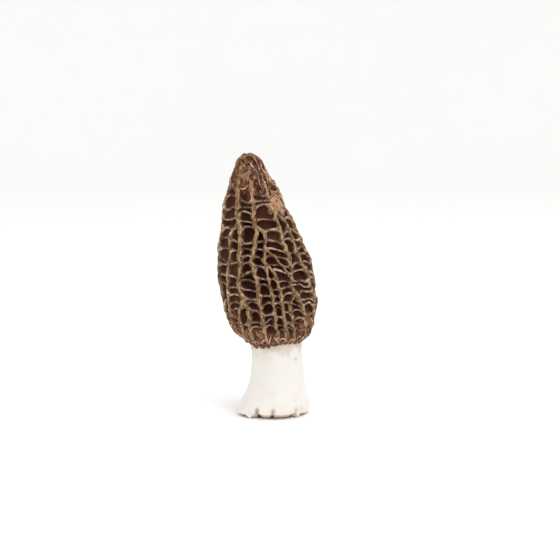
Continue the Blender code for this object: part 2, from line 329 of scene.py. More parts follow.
@dataclass(frozen=True)
class Pit:
    """One pit between two cross ridges of a column, with the share of the full depth and its floor's tone."""

    column: int
    low: Crossing
    high: Crossing
    deepness: float
    tone: float


@dataclass(frozen=True)
class Swelling:
    """A place where the pits are filled up: its angle, height, spread in both, and the share filled."""

    angle: float
    height: float
    wide: float
    tall: float
    fill: float

    def share(self, angle: Array, height: Array) -> Array:
        """Gives the share of a pit's depth that it fills."""
        return self.fill * bell(turned(angle, self.angle), self.wide) * bell(height - self.height, self.tall)


@dataclass(frozen=True)
class Ridge:
    """One upright ridge: its angle at each knot height, and for a branch where it leaves which host."""

    angles: tuple[float, ...]
    branch_height: float | None = None
    host: int | None = None


@dataclass
class RidgeNet:
    """The net of upright ridges and cross ridges, laid out by the same rule as the solid cap.

    A column is the space between a ridge and the next one, and has the number of the first. rung_heights
    gives for a column the heights where its main cross ridges, the rungs, join its two ridges. The other
    columns get theirs by a seeded rule, and thin septa stand between rungs that are far apart.
    """

    surface: CrestSurface
    knot_heights: tuple[float, ...] = (35.0, 47.0, 57.0, 68.0, 78.0, 89.0, 103.0)
    ridges: tuple[Ridge, ...] = (
        Ridge((-76, -79, -80, -78, -77, -72, -70)),
        Ridge((-62, -60, -57, -47, -46), 84.0, 3),
        Ridge((-47, -41), 52.0, 3),
        Ridge((-31, -27, -36, -29, -28, -34, -35)),
        Ridge((-10, -10, -11, -13, -4, -2, 2)),
        Ridge((8, 6, 4, 4, 10), 84.0, 4),
        Ridge((20, 18, 14), 67.0, 5),
        Ridge((32, 28), 56.0, 8),
        Ridge((56, 45, 32, 36, 35, 37, 38)),
        Ridge((78, 72, 67, 57, 54), 88.0, 8),
        Ridge((103, 98, 94, 88, 80, 78, 76)),
        Ridge((119, 115, 111, 106), 77.0, 10),
        Ridge((135, 132, 130, 127, 126, 122, 118)),
        Ridge((151, 149, 147, 142, 138), 85.0, 12),
        Ridge((168, 166, 164, 166, 163, 160, 158)),
        Ridge((185, 183, 181, 178), 72.0, 14),
        Ridge((202, 202, 203, 200, 199, 201, 200)),
        Ridge((219, 221, 220, 217, 213), 86.0, 16),
        Ridge((238, 239, 240, 242, 241, 243, 244)),
        Ridge((262, 262, 260, 256), 74.0, 18),
    )
    rung_heights: dict[int, str] = field(
        default_factory=lambda: {
            0: "36/36 42/42 48/48 55/55 60/59 68/66 79/80 86/88 92/92 97/97 102/102",
            1: "36/36 40/40 44/45 48/48 54/54 60/58 77/75",
            2: "36/36 40/41 45/46",
            3: "36/36 41/40 46/45 51/52 57/57 61/62 68/67 74/76 80/81 85/85 93/91 98/98 103/103",
            4: "36/36 40/41 44/45 48/49 56/55 60/59 64/63 69/68 74/74 79/79",
            5: "36/36 43/43 50/50 56/55",
            6: "37/37 42/41 48/49 56/56 62/61 72/70 76/75 80/80 84/84 88/87 92/91 97/96 102/102",
            7: "36/36 42/42 48/47",
            8: "36/35 41/40 46/46 52/52 59/58 63/65 68/70 73/75 78/80 83/84",
        }
    )
    half_widths: tuple[float, ...] = (
        *(0.46, 0.38, 0.38, 0.66, 0.60, 0.42, 0.44, 0.38, 0.46, 0.40),
        *(0.50, 0.40, 0.56, 0.42, 0.50, 0.38, 0.58, 0.42, 0.52, 0.40),
    )
    swellings: tuple[Swelling, ...] = (
        Swelling(-8.0, 93.5, 12.0, 3.2, 0.85),
        Swelling(47.0, 90.5, 19.0, 5.0, 0.70),
        Swelling(-38.0, 103.5, 22.0, 4.0, 0.75),
        Swelling(-60.0, 40.0, 13.0, 4.5, 0.60),
        Swelling(56.0, 39.0, 15.0, 4.5, 0.60),
        Swelling(128.0, 82.0, 13.0, 4.0, 0.60),
        Swelling(200.0, 44.0, 14.0, 4.5, 0.55),
        Swelling(250.0, 70.0, 10.0, 3.5, 0.50),
    )
    rung_pull: float = 0.42
    septum_pull: float = 0.20
    pull_share: Pair = (0.3, 1.2)
    kink_reach: float = 1.1
    wobble: float = 1.5
    crest_wave: float = 0.45
    width_wave: float = 0.38
    width_taper: tuple[tuple[float, ...], ...] = ((0.0, 0.06, 0.8, 1.0), (0.7, 1.0, 1.0, 0.6))
    branch_drop: float = 0.35
    branch_bend: float = 7.0
    rung_gap: Pair = (3.9, 6.1)
    rung_tilt: float = 1.5
    rung_arch: Pair = (0.3, 1.7)
    rung_lean: float = 0.8
    hanging_share: float = 0.12
    hanging_arch: float = -0.5
    septum_gaps: Pair = (5.2, 9.0)
    septum_chance: float = 0.88
    septum_arch: Pair = (0.5, 1.6)
    septum_lean: float = 0.7
    least_gap: int = 3
    rung_dip: float = 1.65
    septum_dip: float = 2.35
    narrow: float = 3.2
    tip_sink: Triple = (95.0, 103.0, 0.9)
    rim_sink: Pair = (5.0, 0.45)
    pit_variation: Pair = (0.85, 1.1)
    column_depths: tuple[float, ...] = (
        *(0.62, 0.58, 0.60, 0.95, 0.95, 0.90, 0.70, 0.90, 0.72, 0.65),
        *(0.80, 0.92, 0.65, 0.85, 0.70, 0.95, 0.62, 0.80, 0.90, 0.68),
    )
    steps: Array = field(init=False)
    traits: dict[int, Array] = field(init=False)
    marks: dict[int, set[int]] = field(init=False)
    columns: list[list[Pit]] = field(init=False)

    def __post_init__(self) -> None:
        """Lays out the ridges, the rungs between them and the thin septa between those."""
        self.steps = np.arange(-1, 4 * self.surface.length + 4) / 4
        self.traits = {}
        self.marks = {index: {0, self.surface.top} for index in range(len(self.ridges))}
        for index, ridge in enumerate(self.ridges):
            if ridge.host is not None:
                level = self.branch_level(index)
                self.marks[self.carrier(index, level)].add(level)
        rungs = [self.rungs_of(column) for column in range(len(self.ridges))]
        self.columns = [self.pits_of(column, found) for column, found in enumerate(rungs)]
        pulls = self.pulls()
        for index in range(len(self.ridges)):
            self.trace(index, pulls)

    def branch_level(self, index: int) -> int:
        """Gives the level where a ridge joins its host, or the top level."""
        ridge = self.ridges[index]
        return self.surface.top if ridge.host is None else self.surface.level_at(ridge.branch_height)

    def carrier(self, index: int, level: float) -> int:
        """Gives the ridge that this one's line runs on at a level: itself, or its host above the branch."""
        index %= len(self.ridges)
        while self.ridges[index].host is not None and level >= self.branch_level(index):
            index = self.ridges[index].host
        return index

    def pulls(self) -> list[Array]:
        """Works out how each ridge kinks towards the cross ridges that join it.

        Returns:
            For each ridge its shift to the right at each step, in millimetres.
        """
        draw = random.Random(SEED * 9)
        found = [np.zeros(len(self.steps)) for _ in self.ridges]
        most = {CrossKind.RUNG: self.rung_pull, CrossKind.SEPTUM: self.septum_pull}
        for column, pits in enumerate(self.columns):
            for low in [pit.low for pit in pits if pit.low.kind in most]:
                for index, level, way in ((column, low.left, 1), (column + 1, low.right, -1)):
                    size = way * most[low.kind] * draw.uniform(*self.pull_share)
                    found[self.carrier(index, level)] += size * bell(self.steps - level, self.kink_reach)
        return found

    def trace(self, index: int, pulls: list[Array]) -> None:
        """Works out a ridge's angle, the rise of its crest and its half width, all the way up.

        Args:
            index: which ridge.
            pulls: the shifts of all ridges.
        """
        if index in self.traits:
            return
        ridge, level = self.ridges[index], self.steps
        height = self.surface.height(level)
        turn = np.interp(height, self.knot_heights[: len(ridge.angles)], ridge.angles)
        turn = turn + self.wobble * wave(level, SEED + index)
        turn = turn + np.degrees(pulls[index] / np.maximum(self.surface.radius(level), 4.0))
        rise = self.crest_wave * wave(level, SEED * 3 + index)
        rise = rise - np.interp(height, self.tip_sink[:2], (0.0, self.tip_sink[2]))
        rise = rise - np.interp(level, (0.0, self.rim_sink[0]), (self.rim_sink[1], 0.0))
        half = self.half_widths[index] * (1 + self.width_wave * wave(level * 2.6, SEED + 60 + index))
        half = half * np.interp(level / self.surface.length, *self.width_taper)
        if ridge.host is None:
            self.traits[index] = np.array([turn, rise, half])
            return
        self.trace(ridge.host, pulls)
        near = np.clip(1 - (self.branch_level(index) - level) / self.branch_bend, 0.0, 1.0)
        own = np.array([turn, rise - self.branch_drop, half])
        self.traits[index] = lerp(own, self.traits[ridge.host], eased(near))

    def angle(self, index: int, level: Array) -> Array:
        """Gives the angle of a ridge's line at a level. An index past the last goes on round the cap."""
        turns, index = divmod(index, len(self.ridges))
        return 360.0 * turns + np.interp(level, self.steps, self.traits[index][0])

    def rise(self, index: int, level: Array) -> Array:
        """Gives how far a ridge's crest stands outside the crest surface at a level."""
        return np.interp(level, self.steps, self.traits[index % len(self.ridges)][1])

    def half_width(self, index: int, level: Array) -> Array:
        """Gives half the width of a ridge's crown at a level."""
        return np.interp(level, self.steps, self.traits[index % len(self.ridges)][2])

    def filled(self, angle: Array, level: Array) -> Array:
        """Gives the share of a pit's depth that the swellings fill at a place."""
        left = np.ones(len(angle))
        for swelling in self.swellings:
            left = left * (1 - swelling.share(angle, self.surface.height(level)))
        return 1 - left

    def width(self, column: int, level: Array) -> Array:
        """Gives the distance between a column's two ridge lines at a level."""
        spread = self.angle(column + 1, level) - self.angle(column, level)
        return np.maximum(np.radians(spread) * self.surface.radius(level), 0.01)

    def column_top(self, column: int) -> tuple[int, bool]:
        """Gives the level where a column of pits ends, and whether its two ridges meet there."""
        for level in range(self.surface.top):
            if self.carrier(column, level) == self.carrier(column + 1, level):
                return level, True
        return self.surface.top, False

    def snapped(self, index: int, level: int) -> int:
        """Moves a crossing to one that is a level away on the same ridge.

        Args:
            index: which ridge.
            level: the level wanted.

        Returns:
            The level to use, which is then marked.
        """
        index %= len(self.ridges)
        marks = self.marks[self.carrier(index, level)]
        for near in (level, level - 1, level + 1):
            if near in marks and self.carrier(index, near) == self.carrier(index, level) and near > 0:
                level = near
                break
        self.marks[self.carrier(index, level)].add(level)
        return level

    def rungs_of(self, column: int) -> list[tuple[int, int]]:
        """Places the main cross ridges of a column.

        Args:
            column: which column, named by its left ridge.

        Returns:
            Pairs of levels on its left and right ridge, from the rim up.
        """
        top, _ = self.column_top(column)
        pairs = [pair.split("/") for pair in self.rung_heights.get(column, "").split()]
        wanted = [tuple(self.surface.level_at(float(height)) for height in pair) for pair in pairs]
        if not wanted:
            draw = random.Random(SEED * 100 + column)
            middle = draw.uniform(*self.rung_gap) * 0.75
            while middle < top:
                tilt = draw.uniform(-self.rung_tilt, self.rung_tilt)
                wanted.append((round(middle - tilt), round(middle + tilt)))
                middle += draw.uniform(*self.rung_gap)
        rungs = [(0, 0)]
        for left, right in wanted:
            left = max(left, rungs[-1][0] + self.least_gap)
            right = max(right, rungs[-1][1] + self.least_gap)
            if max(left, right) <= top - self.least_gap:
                rungs.append((self.snapped(column, left), self.snapped(column + 1, right)))
        return rungs

    def pits_of(self, column: int, rungs: list[tuple[int, int]]) -> list[Pit]:
        """Makes the pits of a column, with thin septa where two rungs are far apart.

        Args:
            column: which column.
            rungs: its main cross ridges.

        Returns:
            The pits from the rim up.
        """
        top, meets = self.column_top(column)
        draw = random.Random(SEED * 77 + column)
        crossings = []
        for pair in rungs:
            kind = CrossKind.RUNG if crossings else CrossKind.RIM
            arch = kind.arch * self.arch_draw(draw)
            crossings.append(Crossing(*pair, kind, arch, draw.uniform(-self.rung_lean, self.rung_lean)))
        crossings.append(Crossing(top, top, CrossKind.MEET if meets else CrossKind.TOP))
        pits = []
        for low, high in zip(crossings, crossings[1:]):
            draw = random.Random(SEED * 1000 + column * 50 + low.left)
            deepness = draw.uniform(*self.pit_variation) * self.column_depths[column]
            edges = [low, *self.septa(draw, low, high), high]
            pits += [Pit(column, one, two, deepness, draw.random()) for one, two in zip(edges, edges[1:])]
        return pits

    def arch_draw(self, draw: random.Random) -> float:
        """Draws how strongly a rung arches, as a factor: mostly up, a few down."""
        return self.hanging_arch if draw.random() < self.hanging_share else draw.uniform(*self.rung_arch)

    def septa(self, draw: random.Random, low: Crossing, high: Crossing) -> list[Crossing]:
        """Places the thin septa between two rungs.

        Args:
            draw: the column's own random draw.
            low: the rung below.
            high: the rung above.

        Returns:
            None, one or two septa.
        """
        count = sum(high.middle - low.middle >= gap for gap in self.septum_gaps)
        found = []
        for number in range(count):
            share = (number + 1) / (count + 1) + draw.uniform(-0.06, 0.06)
            left, right = round(lerp(low.left, high.left, share)), round(lerp(low.right, high.right, share))
            below = found[-1] if found else low
            clear = min(left - below.left, right - below.right, high.left - left, high.right - right)
            if clear >= 2 and draw.random() < self.septum_chance:
                bend = (draw.uniform(*self.septum_arch), draw.uniform(-self.septum_lean, self.septum_lean))
                found.append(Crossing(left, right, CrossKind.SEPTUM, *bend))
        return found

    def dip(self, column: int, crossing: Crossing, across: Array) -> Array:
        """Gives how far a cross ridge's crest lies below the ridges that it joins.

        Args:
            column: which column.
            crossing: which cross ridge of it.
            across: the share of the way across.

        Returns:
            The depth of its crest, in millimetres.
        """
        share = min(1.0, float(self.width(column, crossing.middle)) / self.narrow)
        pit_depth = float(self.surface.pit_depth(crossing.middle))
        bow = 4 * across * (1 - across)
        if crossing.kind is CrossKind.SEPTUM:
            return min(self.septum_dip, 0.66 * pit_depth) * share * (0.45 + 0.55 * bow)
        if crossing.kind is CrossKind.RUNG:
            return min(self.rung_dip, 0.58 * pit_depth) * share * np.sqrt(bow)
        return self.rung_dip * 0.4 * share * bow if crossing.kind is CrossKind.RIM else 0.2 * bow


class Graph:
    """Adds and links the nodes of one tree."""

    def __init__(self, tree: bpy.types.NodeTree) -> None:
        """Takes the tree to fill."""
        self.tree = tree

    def add(self, kind: str, inputs: dict | None = None, **settings: object) -> bpy.types.Node:
        """Adds a node.

        Args:
            kind: Blender's own name of the kind of node.
            inputs: for a socket's name or number, a value or the output that feeds it.
            settings: the node's own options.

        Returns:
            The new node.
        """
        node = self.tree.nodes.new(kind)
        for name, value in settings.items():
            setattr(node, name, value)
        for name, value in (inputs or {}).items():
            if isinstance(value, Socket):
                self.tree.links.new(value, node.inputs[name])
            else:
                node.inputs[name].default_value = value
        return node

    def out(self, kind: str, inputs: dict | None = None, output: str | int = 0, **settings: object) -> Socket:
        """Adds a node and gives its output of that name or number."""
        return self.add(kind, inputs, **settings).outputs[output]

    def math(self, operation: str, first: object, second: object = 0.0) -> Socket:
        """Adds a sum on one or two numbers and gives its result."""
        return self.out("ShaderNodeMath", {0: first, 1: second}, operation=operation)

    def plus(self, first: object, second: object) -> Socket:
        """Adds a number plus a number and gives its result."""
        return self.math("ADD", first, second)

    def times(self, product: object, *factors: object) -> Socket:
        """Adds a product of two or more numbers and gives its result."""
        for factor in factors:
            product = self.math("MULTIPLY", product, factor)
        return product

    def vector(self, operation: str, first: object, second: object) -> Socket:
        """Adds a sum on two vectors and gives its result."""
        return self.out("ShaderNodeVectorMath", {0: first, 1: second}, operation=operation)

    def scaled(self, vector: object, factor: object) -> Socket:
        """Adds a vector times a number and gives its result."""
        return self.out("ShaderNodeVectorMath", {0: vector, 3: factor}, operation="SCALE")

    def noise(self, place: object, size: float, detail: float = 2.0, output: str = "Fac") -> Socket:
        """Adds a soft random pattern from 0 to 1, with spots of a size in millimetres."""
        inputs = {"Vector": place, "Scale": 1 / (size * MM), "Detail": detail, "Roughness": 0.55}
        return self.out("ShaderNodeTexNoise", inputs, output)

    def span(self, value: object, low: float, high: object, start: float = 0.0, end: object = 1.0) -> Socket:
        """Maps the values from low to high onto the results from start to end, with gentle ends."""
        inputs = {0: value, 1: low, 2: high, 3: start, 4: end}
        return self.out("ShaderNodeMapRange", inputs, interpolation_type="SMOOTHSTEP")


def linked(name: str, data: bpy.types.ID) -> Thing:
    """Adds an object to the scene.

    Args:
        name: the object's name.
        data: its mesh, lamp or camera.

    Returns:
        The object.
    """
    thing = bpy.data.objects.new(name, data)
    bpy.context.scene.collection.objects.link(thing)
    return thing


@dataclass
class MeshMaker:
    """Gathers the points, faces and surface values of one mesh."""

    points: list[Array] = field(default_factory=list)
    edges: list[tuple[int, int]] = field(default_factory=list)
    faces: list[tuple[int, ...]] = field(default_factory=list)
    values: dict[str, list[Array]] = field(default_factory=dict)
    count: int = 0

    def add(self, points: Array, **values: Array | float) -> Array:
        """Adds points.

        Args:
            points: the points.
            values: for each surface value its number or vector at each point.

        Returns:
            The points' numbers.
        """
        points = np.atleast_2d(points)
        self.points.append(points)
        for name, value in values.items():
            value = np.asarray(value, float)
            shape = (len(points), 3) if value.ndim == 2 else (len(points),)
            self.values.setdefault(name, []).append(np.broadcast_to(value, shape))
        self.count += len(points)
        return np.arange(self.count - len(points), self.count)

    def chain(self, numbers: Array, closed: bool = False) -> None:
        """Joins points by edges, each to the next, and the last to the first if closed."""
        row = numbers.tolist()
        self.edges += zip(row, row[1:] + row[: int(closed)])

    def join(self, *corners: Array) -> None:
        """Adds faces from their first, second, third and perhaps fourth corners."""
        self.faces += [tuple(row) for row in np.stack(corners, axis=1).tolist()]

    def bands(self, rings: list[Array], closed: bool = False) -> None:
        """Joins rings of as many points, each to the next, and the last to the first if closed."""
        for first, second in zip(rings, rings[1:] + rings[: int(closed)]):
            self.join(first, np.roll(first, -1), np.roll(second, -1), second)

    def fan(self, ring: Array, middle: Array) -> None:
        """Closes a ring of points onto one point in its middle."""
        self.join(ring, np.roll(ring, -1), np.repeat(middle, len(ring)))

    def made(self, name: str) -> Thing:
        """Makes the object.

        Args:
            name: the object's name.

        Returns:
            The object, smooth, with its faces outward.
        """
        data = bpy.data.meshes.new(name)
        data.from_pydata(np.concatenate(self.points).tolist(), self.edges, self.faces)
        for key, parts in self.values.items():
            value = np.concatenate(parts)
            kind, slot = ("FLOAT_VECTOR", "vector") if value.ndim == 2 else ("FLOAT", "value")
            data.attributes.new(key, kind, "POINT").data.foreach_set(slot, value.ravel())
        thing = linked(name, data)
        if self.faces:
            faced_outward(thing)
        return thing


def faced_outward(thing: Thing) -> None:
    """Turns every face of an object outward and makes it smooth."""
    mesh = bmesh.new()
    mesh.from_mesh(thing.data)
    bmesh.ops.recalc_face_normals(mesh, faces=mesh.faces)
    mesh.to_mesh(thing.data)
    mesh.free()
    thing.data.shade_smooth()


def dressed(thing: Thing, replaced: str = "") -> Thing:
    """Fixes a finished piece to the mushroom's one body.

    Args:
        thing: the piece.
        replaced: the CAD node that it stands for, if any.

    Returns:
        The piece.
    """
    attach(thing, "root")
    if replaced:
        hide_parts(replaced)
    triangles = sum(len(face.vertices) - 2 for face in thing.data.polygons)
    LOG.info("made %s, %d triangles", thing.name, triangles)
    return thing


@dataclass
class GrowthTree:
    """A geometry tree with named inputs: sizes in millimetres, and others such as shares and objects."""

    name: str
    material: Material
    sizes: dict[str, float]
    others: dict[str, object] = field(default_factory=dict)
    graph: Graph = field(init=False)
    start: bpy.types.Node = field(init=False)

    def __post_init__(self) -> None:
        """Makes the tree, its inputs and its output."""
        tree = bpy.data.node_groups.new(self.name, "GeometryNodeTree")
        sockets = {label: "Float" for label in self.sizes}
        for label, value in self.others.items():
            sockets[label] = "Object" if isinstance(value, Thing) else "Float"
        for label, kind in {"Geometry": "Geometry", **sockets, "Material": "Material"}.items():
            tree.interface.new_socket(label, in_out="INPUT", socket_type="NodeSocket" + kind)
        tree.interface.new_socket("Geometry", in_out="OUTPUT", socket_type="NodeSocketGeometry")
        self.graph = Graph(tree)
        self.start = self.graph.add("NodeGroupInput")

    def put(self, label: str) -> Socket:
        """Gives the input of that name."""
        return self.start.outputs[label]

    def named(self, attribute: str, kind: str = "FLOAT") -> Socket:
        """Gives a surface value of the mesh by its name."""
        return self.graph.out("GeometryNodeInputNamedAttribute", {"Name": attribute}, data_type=kind)

    def stored(self, geometry: Socket, attribute: str, value: Socket) -> Socket:
        """Keeps a number as a surface value of the mesh."""
        inputs = {"Geometry": geometry, "Name": attribute, 3: value}
        return self.graph.out("GeometryNodeStoreNamedAttribute", inputs, data_type="FLOAT")

    def pushed(self, geometry: Socket, height: Socket) -> Socket:
        """Pushes a surface outward by a height in metres."""
        push = self.graph.scaled(self.graph.out("GeometryNodeInputNormal"), height)
        return self.graph.out("GeometryNodeSetPosition", {"Geometry": geometry, "Offset": push})

    def rough(self, geometry: Socket, size: str, height: Socket, detail: float = 2.0) -> Socket:
        """Pushes a surface in and out by a soft random pattern.

        Args:
            geometry: the mesh.
            size: the input that gives the size of its spots, in metres.
            height: the full height of its spots, in metres.
            detail: how many finer layers the pattern has.

        Returns:
            The roughened mesh.
        """
        graph = self.graph
        place, scale = graph.out("GeometryNodeInputPosition"), graph.math("DIVIDE", 1.0, self.put(size))
        inputs = {"Vector": place, "Scale": scale, "Detail": detail, "Roughness": 0.55}
        pattern = graph.math("SUBTRACT", graph.out("ShaderNodeTexNoise", inputs, "Fac"), 0.5)
        return self.pushed(geometry, graph.times(pattern, height))

    def baked(self, thing: Thing, geometry: Socket) -> Thing:
        """Ends the tree with smooth and dressed geometry, and runs it on an object for good.

        Args:
            thing: the object, which gets a new plain mesh.
            geometry: what the tree has made of the object's geometry.

        Returns:
            The same object.
        """
        graph = self.graph
        geometry = graph.out("GeometryNodeSetShadeSmooth", {"Geometry": geometry})
        geometry = graph.out("GeometryNodeRealizeInstances", {"Geometry": geometry})
        inputs = {"Geometry": geometry, "Material": self.put("Material")}
        graph.add("NodeGroupOutput", {"Geometry": graph.out("GeometryNodeSetMaterial", inputs)})
        modifier = thing.modifiers.new(self.name, "NODES")
        modifier.node_group = graph.tree
        values = {label: size * MM for label, size in self.sizes.items()}
        values |= {**self.others, "Material": self.material}
        for item in graph.tree.interface.items_tree:
            if item.name in values:
                modifier[item.identifier] = values[item.name]
        depsgraph = bpy.context.evaluated_depsgraph_get()
        result = thing.evaluated_get(depsgraph)
        data = bpy.data.meshes.new_from_object(result, preserve_all_data_layers=True, depsgraph=depsgraph)
        thing.modifiers.clear()
        old, thing.data = thing.data, data
        bpy.data.meshes.remove(old)
        data.name = thing.name
        return thing


@dataclass
class CapFlesh:
    """The flesh of the cap in one closed skin: ridges, cross ridges, pits, tip, underside and hollow.

    Each pit is a round-cornered opening with a raised lip and rings inside it, drawn in from the crests.
    ring_insets are the distances from its edge to each ring, and ring_shares the most of its width that each
    may take. path_places are the first points along a cross ridge. The crests draw the flesh to their own
    heights: crown_dip is that of a ridge, and side_soft and end_soft soften the pull of ridges and cross
    ridges. The shelf reach and the under reach are how far the painted light on the upper face of a cross
    ridge and the painted shade beneath one go.
    """

    net: RidgeNet
    ring_insets: tuple[float, ...] = (-0.17, 0.0, 0.18, 0.55, 1.3)
    ring_shares: tuple[float, ...] = (0.14, 0.20, 0.27, 0.35, 0.43)
    path_places: tuple[float, ...] = (0.35, 0.62, 0.85, 1.2, 1.7)
    path_step: float = 0.65
    ridge_step: float = 0.5
    thin_column: float = 2.2
    corner: float = 1.5
    ridge_sink: float = 0.2
    crown_dip: float = 0.12
    side_soft: float = 0.05
    end_soft: float = 0.25
    least_depth: float = 0.15
    wall_run: float = 0.38
    open_run: float = 0.12
    lip_height: float = 0.14
    lip_width: float = 0.16
    band_depth: float = 0.10
    band_width: float = 0.22
    shelf_light_reach: float = 0.8
    under_shade_reach: float = 1.3
    least_share: float = 0.02
    tip_rings: int = 5
    tip_sink: float = 1.3
    pole_sink: float = 2.2
    under_rings: int = 6
    under_roll: float = 0.75
    socket_radius: float = 11.9
    joint_height: float = 33.0
    hollow: Knots = (
        *((8.6, 34.0), (11.4, 41.0), (13.1, 50.0), (13.0, 62.0)),
        *((11.2, 75.0), (8.0, 87.0), (3.8, 97.0), (0.0, 99.5)),
    )
    plain_values: dict[str, float] = field(
        default_factory=lambda: {"lip": 0.0, "cross": 0.0, "shelf": 0.0, "under": 0.0, "tone": 0.5}
    )
    mesh: MeshMaker = field(default_factory=MeshMaker)
    ridge_points: dict[tuple[int, float], int] = field(default_factory=dict)
    paths: dict[tuple[int, Crossing], tuple[Array, Array]] = field(default_factory=dict)

    def corner_radius(self, wide: Array, tall: Array) -> Array:
        """Gives how round the corners of a pit's opening are, from its width and height."""
        return np.clip(0.42 * np.minimum(wide, tall), 0.05, self.corner)

    def sides(self, column: int, across: Array, level: Array) -> tuple[Array, Array]:
        """Gives how far places are from the crowns of the left and the right ridge of their column."""
        width = self.net.width(column, level)
        left = across * width - self.net.half_width(column, level)
        return left, (1 - across) * width - self.net.half_width(column + 1, level)

    def pull(self, gap: Array, soft: float) -> Array:
        """Gives how strongly a crest draws the flesh that is a gap away to its own height."""
        return (np.maximum(gap, 0.0) + soft) ** -2

    def relief(self, pit: Pit, across: Array, level: Array) -> tuple[Array | float, ...]:
        """Works out how the flesh stands inside a pit and on the crests round it.

        Args:
            pit: the pit.
            across: the share of the way across its column.
            level: the level.

        Returns:
            Its height above the crests, and its surface values as add takes them.
        """
        net = self.net
        left, right = self.sides(pit.column, across, level)
        below = level - pit.low.level(across) - pit.low.kind.half_width
        above = pit.high.level(across) - level - pit.high.kind.half_width
        side, end = np.minimum(left, right), np.minimum(below, above)
        turn = self.corner_radius(left + right, below + above)
        round_off = turn - np.hypot(np.maximum(turn - side, 0.0), np.maximum(turn - end, 0.0))
        inset = np.where((side < turn) & (end < turn), round_off, np.minimum(side, end))
        inside = np.maximum(inset, 0.0)
        gaps = ((side, self.side_soft), (below, self.end_soft), (above, self.end_soft))
        pulls = [self.pull(*gap) for gap in gaps]
        dips = [self.crown_dip, net.dip(pit.column, pit.low, across), net.dip(pit.column, pit.high, across)]
        top = -sum(pull * dip for pull, dip in zip(pulls, dips)) / sum(pulls)
        angle = lerp(net.angle(pit.column, level), net.angle(pit.column + 1, level), across)
        deep = net.surface.pit_depth(level) * pit.deepness * (1 - net.filled(angle, level))
        deep = deep * np.minimum(1.0, net.width(pit.column, level) / net.narrow)
        drop = np.maximum(deep + top, self.least_depth) * (1 - np.exp(-inside / self.wall_run))
        worn = 0.75 + 0.45 * wave(level * 3.7 + across * 9, SEED + 80 + pit.column)
        lip = bell(inset, self.lip_width) * worn
        band = self.band_depth * (1 - bell(np.minimum(inset, 0.0), self.band_width))
        open_share = 1 - np.exp(-inside / self.open_run)
        height = top - drop + self.lip_height * lip - band
        # Painted light on the upper face of the cross ridge below, and painted shade beneath the one above.
        shelf = np.exp(-np.maximum(below, 0.0) / self.shelf_light_reach) * open_share
        under = np.exp(-np.maximum(above, 0.0) / self.under_shade_reach) * open_share
        return height, lip, (pulls[1] + pulls[2]) / sum(pulls), shelf, under, pit.tone

    def add(self, column: int, across: Array, level: Array, height: Array, *values: Array | float) -> Array:
        """Adds points at some places of a column.

        Args:
            column: which column.
            across: the share of the way across it.
            level: the level.
            height: millimetres above the crests.
            values: the surface values, in the order of plain_values, or the first of them.

        Returns:
            The points' numbers.
        """
        net = self.net
        angle = lerp(net.angle(column, level), net.angle(column + 1, level), across)
        rise = lerp(net.rise(column, level), net.rise(column + 1, level), across)
        points = wobbled(net.surface.point(angle, level, rise + height))
        return self.plain(points, np.maximum(-height, 0.0) / DEEPEST, level / net.surface.length, *values)

    def plain(self, points: Array, depth: Array | float, up: Array | float, *values: Array | float) -> Array:
        """Adds points with their surface values, or else the plain ones, and gives the points' numbers."""
        named = {**self.plain_values, **dict(zip(self.plain_values, values))}
        return self.mesh.add(points, up=up, depth=depth, **named)

    def ridge_point(self, index: int, level: float) -> int:
        """Gives the number of the point on a ridge's line at a level."""
        key = (self.net.carrier(index, level), float(level))
        if key not in self.ridge_points:
            none = np.zeros(1)
            self.ridge_points[key] = int(self.add(key[0], none, none + level, none - self.ridge_sink)[0])
        return self.ridge_points[key]

    def path(self, column: int, crossing: Crossing) -> tuple[Array, Array]:
        """Lays the points along the crest of a cross ridge, from its left ridge to its right one.

        Args:
            column: which column.
            crossing: which cross ridge.

        Returns:
            The points' numbers, and their shares of the way across.
        """
        key = (column, crossing)
        if key in self.paths:
            return self.paths[key]
        if crossing.kind is CrossKind.MEET:
            self.paths[key] = (np.array([self.ridge_point(column, crossing.left)]), np.array([0.5]))
            return self.paths[key]
        width = float(self.net.width(column, crossing.middle))
        squeeze = min(1.0, 0.42 * width / self.path_places[-1])
        edge = np.array(self.path_places) * squeeze / width
        if width < self.thin_column:
            edge = np.array([0.25])
        inner = max(1, round(width * (1 - 2 * edge[-1]) / self.path_step))
        middle = np.linspace(edge[-1], 1 - edge[-1], inner + 1)[1:-1]
        across = np.concatenate([edge, middle, 1 - edge[::-1]])
        level = crossing.level(across)
        side = self.pull(np.minimum(*self.sides(column, across, level)), self.side_soft)
        end = self.pull(0.0, self.end_soft)
        dip = (side * self.crown_dip + end * self.net.dip(column, crossing, across)) / (side + end)
        cross = end / (side + end) * (crossing.kind in (CrossKind.RUNG, CrossKind.SEPTUM))
        made = self.add(column, across, level, 0.06 * cross - dip, cross, cross)
        ends = (self.ridge_point(column, crossing.left), self.ridge_point(column + 1, crossing.right))
        numbers = np.concatenate([[ends[0]], made, [ends[1]]])
        self.paths[key] = (numbers, np.concatenate([[0.0], across, [1.0]]))
        return self.paths[key]

    def outline(self, pit: Pit) -> tuple[Array, Array, Array]:
        """Lays the closed line of crests round a pit.

        Args:
            pit: the pit.

        Returns:
            The points' numbers, their shares across and their shares up.
        """
        low, high = pit.low, pit.high
        below, below_across = self.path(pit.column, low)
        above, above_across = self.path(pit.column, high)
        rights = np.arange(low.right + self.ridge_step, high.right, self.ridge_step)
        lefts = np.arange(high.left - self.ridge_step, low.left, -self.ridge_step)
        right = [self.ridge_point(pit.column + 1, float(level)) for level in rights]
        left = [self.ridge_point(pit.column, float(level)) for level in lefts]
        numbers = np.concatenate([below, right, above[::-1], left]).astype(int)
        across = [below_across, np.ones(len(right)), above_across[::-1], np.zeros(len(left))]
        right_up = (rights - low.right) / (high.right - low.right)
        left_up = (lefts - low.left) / (high.left - low.left)
        up = [np.zeros(len(below)), right_up, np.ones(len(above)), left_up]
        return numbers, np.concatenate(across), np.concatenate(up)

